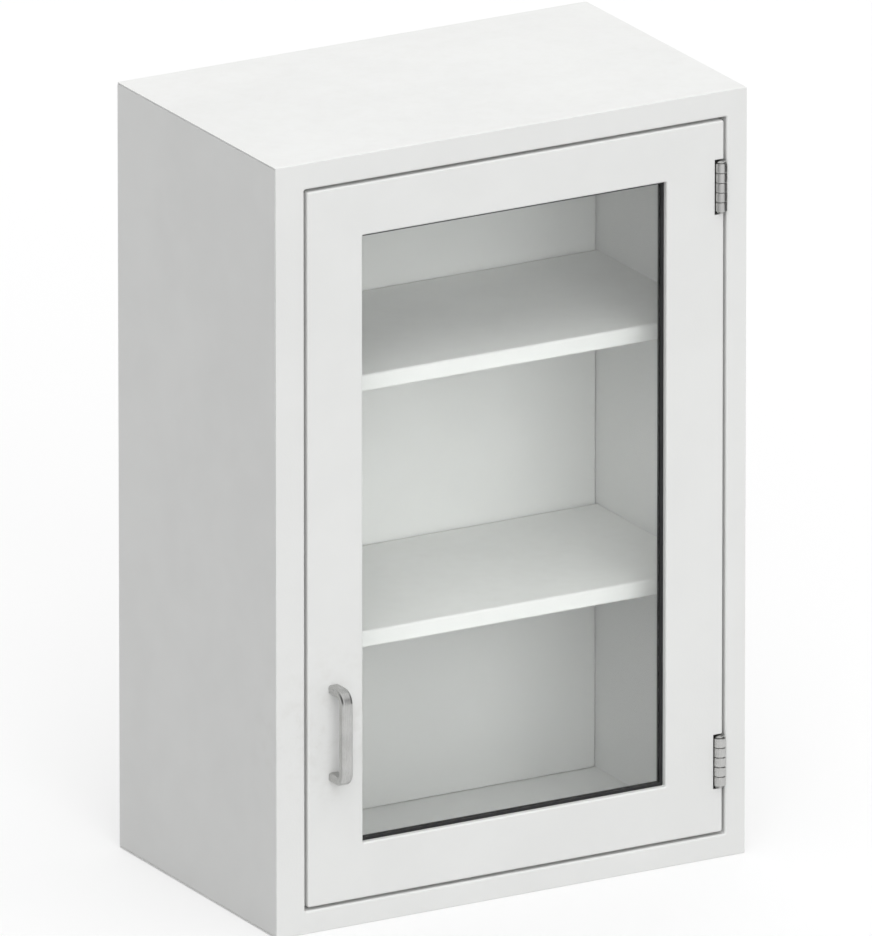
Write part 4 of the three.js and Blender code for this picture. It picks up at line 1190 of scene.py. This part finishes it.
dress(new_object("door_pull_bar", capped_rings(bar), way), ("door_pull",), finish="satin_bar")
print("pull of", len(middle), "sections")


# %% Hidden fixings of the pull
def eased_copy(node, ease):
    """A small piece whose CAD shape is right: a merged copy with its edges eased."""
    mesh = frame["nodes"][node].data.copy()
    clean(mesh, join_flat=True)
    piece = bpy.data.objects.new(node + "_eased", mesh)
    bpy.context.scene.collection.objects.link(piece)
    return dress(piece, (node,), ease)


PLATE_CORNER = 2 * MM
BACKING_EASE = 0.25 * MM
PULL_SCREW_EASE = 0.2 * MM
backing = eased_plate(*span("pull_backing_plate"), Y, PLATE_CORNER, BACKING_EASE)
place_piece("pull_backing_plate_strip", backing, "pull_backing_plate")
for node in ("pull_screw_upper", "pull_screw_lower"):
    eased_copy(node, PULL_SCREW_EASE)
print("backing plate and its screws")

# %% [markdown]
# ## Hinges
#
# A butt hinge is two leaves with knuckles that interlock round a pin. One cylinder with four grooves would do
# for a closed door. The leaves part when it opens, so each knuckle is a rolled ring with softened edges, spun
# round the pin's axis. The leaf is a flat strip cut like a comb, so that it meets only its own knuckles. The
# pin ends in two small domed tips.

# %% Hinge sizes
KNUCKLES = 5
KNUCKLE_LENGTH = 9.2 * MM
KNUCKLE_GAP = 0.4 * MM
KNUCKLE_EDGES = np.array([0.2, 0.6, 0.6, 0.2]) * MM
PIN = 3.4 * MM
BORE = PIN + FIT_GAP
LEAF_SHEET = 1.4 * MM
KNUCKLE_ROOM = 0.6 * MM
CLEARANCE = BARREL + KNUCKLE_ROOM
barrel_length = KNUCKLES * KNUCKLE_LENGTH + (KNUCKLES - 1) * KNUCKLE_GAP
knuckle_starts = np.arange(KNUCKLES) * (KNUCKLE_LENGTH + KNUCKLE_GAP)
print("barrel of", round(barrel_length / MM, 1), "mm")


# %% Hinge leaves
def knuckle(z):
    """One rolled knuckle from height z: a rectangle from bore to barrel, its edges rounded, spun round Z."""
    corners = [(BORE, z), (BARREL, z), (BARREL, z + KNUCKLE_LENGTH), (BORE, z + KNUCKLE_LENGTH)]
    rolled = rounded_section(corners, KNUCKLE_EDGES)
    return turned(rolled, (HINGE_X, FRONT, 0), Z, steps=40, closed=True)


def hinge_leaf(node, x, near, own, other):
    """A flat strip from near the pin to the leaf's far edge, without the boxes in which the other leaf's
    knuckles turn, together with its own knuckles."""
    ends = (min(own[0], other[0]), max(own[-1], other[-1]) + KNUCKLE_LENGTH)
    cuts = np.concatenate([other - KNUCKLE_GAP, other + KNUCKLE_LENGTH + KNUCKLE_GAP, ends])
    comb = [((x - BARREL, FRONT - MM, z - 2 * KNUCKLE_GAP),
             (x + BARREL, FRONT + CLEARANCE, z + KNUCKLE_LENGTH + 2 * KNUCKLE_GAP)) for z in other]
    strip = [(x, FRONT + near), (x, FRONT + CLEARANCE), (x, span(node)[1][Y])]
    plate = folded_strip("xy", strip, MM, LEAF_SHEET, np.unique(np.clip(cuts, *ends)), comb)
    return gather(plate, *(knuckle(z) for z in own))


print("a knuckle has", len(knuckle(0.0)[1]), "faces")


# %% Hinge pins
def dome(radius, tall, wall, points):
    """Half the outline of a dome as (radius, height): at angle a the radius is radius x cos a and the height
    tall x (wall + (1 - wall) sin a), so a share of it, the wall, stays below the dome."""
    arc = np.linspace(0, math.pi / 2, points)
    return np.stack([radius * np.cos(arc), tall * (wall + (1 - wall) * np.sin(arc))], -1)


TIP_HEIGHT = 2 * MM
TIP_STEP = 0.3 * MM
TIP_WALL = 0.35


def hinge_pin(pin_low, pin_high):
    """A pin with two domed tips: the profile of the upper tip and the same one upside down, spun round Z."""
    centre = np.array([HINGE_X, FRONT, (pin_low[Z] + pin_high[Z]) / 2])
    tip_radius = (pin_high[X] - pin_low[X]) / 2
    stem = [(PIN, -TIP_HEIGHT), (PIN, 0), (tip_radius - TIP_STEP, 0)]
    tip = np.concatenate([stem, dome(tip_radius, TIP_HEIGHT, TIP_WALL, points=8)])
    tip[:, 1] += pin_high[Z] - centre[Z] - TIP_HEIGHT
    return turned(np.concatenate([tip[::-1], tip * [1, -1]]), centre, Z)


print("a pin has", len(hinge_pin(*hinge_box["upper"])[1]), "faces")

# %% Both hinges
# A leaf has the middle of its sheet at some x, starts some way behind the pin, and owns every second knuckle.
LEAVES = {"frame": (HINGE_X + BARREL - LEAF_SHEET / 2, 0.0, 0),
          "door": (DOOR[1] - DOOR_SHEET - FIT_GAP - LEAF_SHEET / 2, (BARREL + BORE) / 2, 1)}
for end, (pin_low, pin_high) in hinge_box.items():
    starts = (pin_low[Z] + pin_high[Z]) / 2 - barrel_length / 2 + knuckle_starts
    for leaf, (x, near, first_own) in LEAVES.items():
        node = end + "_hinge_" + leaf + "_leaf"
        own, other = starts[first_own::2], starts[1 - first_own::2]
        place_piece(node + "_rolled", hinge_leaf(node, x, near, own, other), node)
    place_piece(end + "_hinge_pin_turned", hinge_pin(pin_low, pin_high), end + "_hinge_pin")
print(len(hinge_box), "hinges of", KNUCKLES, "knuckles")

# %% [markdown]
# ## Catch, strike and bumpers
#
# A magnet between two steel poles sits in a plastic case clipped into the top stop lip. A steel strike on
# the door meets it. Two soft rubber domes near the latch edge take the last of the door's swing. The catch
# has only flat faces, so a copy of its CAD shape with eased edges is enough. The domes are turned, because
# their round outline shows against the open door.

# %% Catch and strike
CATCH_EASE = {"catch_housing": 0.3 * MM, "catch_pole_upper": 0.15 * MM, "catch_pole_lower": 0.15 * MM,
              "catch_magnet": 0.2 * MM}
STRIKE_EASE = 0.3 * MM
for node, ease in CATCH_EASE.items():
    eased_copy(node, ease)
strike = eased_plate(*span("strike_plate"), Y, PLATE_CORNER, STRIKE_EASE)
place_piece("strike_plate_flat", strike, "strike_plate")
print("catch of", len(CATCH_EASE), "pieces, and its strike")

# %% Bumpers
BUMPERS = ("door_bumper_upper", "door_bumper_lower")
BUMPER_WALL = 0.3
for node in BUMPERS:
    lowest, highest = span(node)
    radius, tall = (highest[X] - lowest[X]) / 2, highest[Y] - lowest[Y]
    profile = np.concatenate([[(0, 0), (radius, 0)], dome(radius, tall, BUMPER_WALL, points=12)])
    centre = (lowest + highest) / 2
    centre[Y] = lowest[Y]
    place_piece(node + "_dome", turned(profile, centre, Y), node)
print(len(BUMPERS), "bumpers")

# %% [markdown]
# ## The studio
#
# The drawing stands on white paper. More light would turn the floor white, but it would bleach the paint as
# well. So camera, mirror and glass rays see a plain white sky, and the floor adds some white of its own for
# them, while the light that falls on the cabinet stays plain. The ground then reads as paper and still holds
# a soft shadow.


# %% Sky
def seen_directly(tree):
    """1 for rays from the camera, off a mirror or through glass, and 0 for light that falls on a surface."""
    rays = tree.nodes.new("ShaderNodeLightPath").outputs
    seen = math_node(tree, "MAXIMUM", rays["Is Camera Ray"], rays["Is Glossy Ray"])
    return math_node(tree, "MAXIMUM", seen, rays["Is Transmission Ray"])


SKY_LEVEL = 0.38
WHITE = (1, 1, 1, 1)
world = bpy.data.worlds.new("studio")
bpy.context.scene.world = world
world.use_nodes = True
tree = world.node_tree
sky = tree.nodes["Background"]
sky.inputs["Color"].default_value = WHITE
whitened = math_node(tree, "MULTIPLY", seen_directly(tree), 1 - SKY_LEVEL)
tree.links.new(math_node(tree, "ADD", SKY_LEVEL, whitened), sky.inputs["Strength"])
print("sky lights at", SKY_LEVEL, "and shows white")


# %% Floor
def stage_sheet(name, corners, finish):
    """A flat sheet of the studio with four corners, which is no part of the cabinet."""
    mesh = bpy.data.meshes.new(name)
    mesh.from_pydata(corners, [], [(0, 1, 2, 3)])
    mesh.materials.append(FINISHES[finish])
    sheet = bpy.data.objects.new(name, mesh)
    bpy.context.scene.collection.objects.link(sheet)
    return sheet


FLOOR_GREY = 0.5
FLOOR_GLOW = 0.45
FLOOR_SIZE = 20.0
FLOOR_DROP = 0.2 * MM
FLOOR_Z = low[Z] - FLOOR_DROP
tree, paper = start_finish("paper_floor")
paper.inputs["Base Color"].default_value = (FLOOR_GREY, FLOOR_GREY, FLOOR_GREY, 1)
paper.inputs["Roughness"].default_value = 0.9
paper.inputs["Specular IOR Level"].default_value = 0.0
paper.inputs["Emission Color"].default_value = WHITE
glow = math_node(tree, "MULTIPLY", seen_directly(tree), FLOOR_GLOW)
tree.links.new(glow, paper.inputs["Emission Strength"])
FLOOR_CORNERS = ((-1, -1), (1, -1), (1, 1), (-1, 1))
stage_sheet("floor", [(x * FLOOR_SIZE, y * FLOOR_SIZE, FLOOR_Z) for x, y in FLOOR_CORNERS], "paper_floor")
print("floor of", 2 * FLOOR_SIZE, "m")

# %% [markdown]
# ## Lamps and cards
#
# Five broad suns light the cabinet evenly: a key and a low one from the front left, so that light reaches the
# shelves, one from above, and two weak ones from the right and from behind. Area lamps would do as well, but
# suns light every side the same however far away. They stay out of reflections, because a broad lamp mirrored
# in white paint washes it out. Metal mirrors the white sky instead, and two dark cards that only mirrors see
# give it edges.

# %% Suns
# Each sun has the direction that it shines from, its strength and its spread in degrees.
SUNS = {"key": ((-0.35, -0.8, 0.5), 1.0, 50), "front": ((-0.15, -0.97, 0.2), 0.6, 34),
        "overhead": ((0.0, -0.15, 1.0), 1.45, 70), "fill": ((0.9, -0.3, 0.3), 0.35, 60),
        "rear": ((0.3, 0.87, 0.4), 0.45, 60)}
for name, (direction, strength, spread) in SUNS.items():
    data = bpy.data.lights.new(name, "SUN")
    data.energy = strength
    data.angle = math.radians(spread)
    sun = bpy.data.objects.new(name, data)
    bpy.context.scene.collection.objects.link(sun)
    heading = math.atan2(direction[X], -direction[Y])
    tilt = math.atan2(math.hypot(direction[X], direction[Y]), direction[Z])
    sun.rotation_euler = (tilt, 0, heading)
    sun.visible_glossy = False
print(len(SUNS), "suns")

# %% Dark cards for the metal
CARD_NEAR = -3.0
CARD_FAR = 1.0
CARD_HEIGHT = 2.0
CARD_SIDES = {"card_left": -1.8, "card_right": 1.4}
CARD_COLOUR = (0.03, 0.03, 0.03, 1)
start_finish("dark_card")[1].inputs["Base Color"].default_value = CARD_COLOUR
for name, x in CARD_SIDES.items():
    card = stage_sheet(name, [(x, CARD_NEAR, FLOOR_Z), (x, CARD_FAR, FLOOR_Z), (x, CARD_FAR, CARD_HEIGHT),
                              (x, CARD_NEAR, CARD_HEIGHT)], "dark_card")
    card.visible_camera = False
    card.visible_diffuse = False
    card.visible_transmission = False
    card.visible_shadow = False
print(len(CARD_SIDES), "cards that only mirrors see")
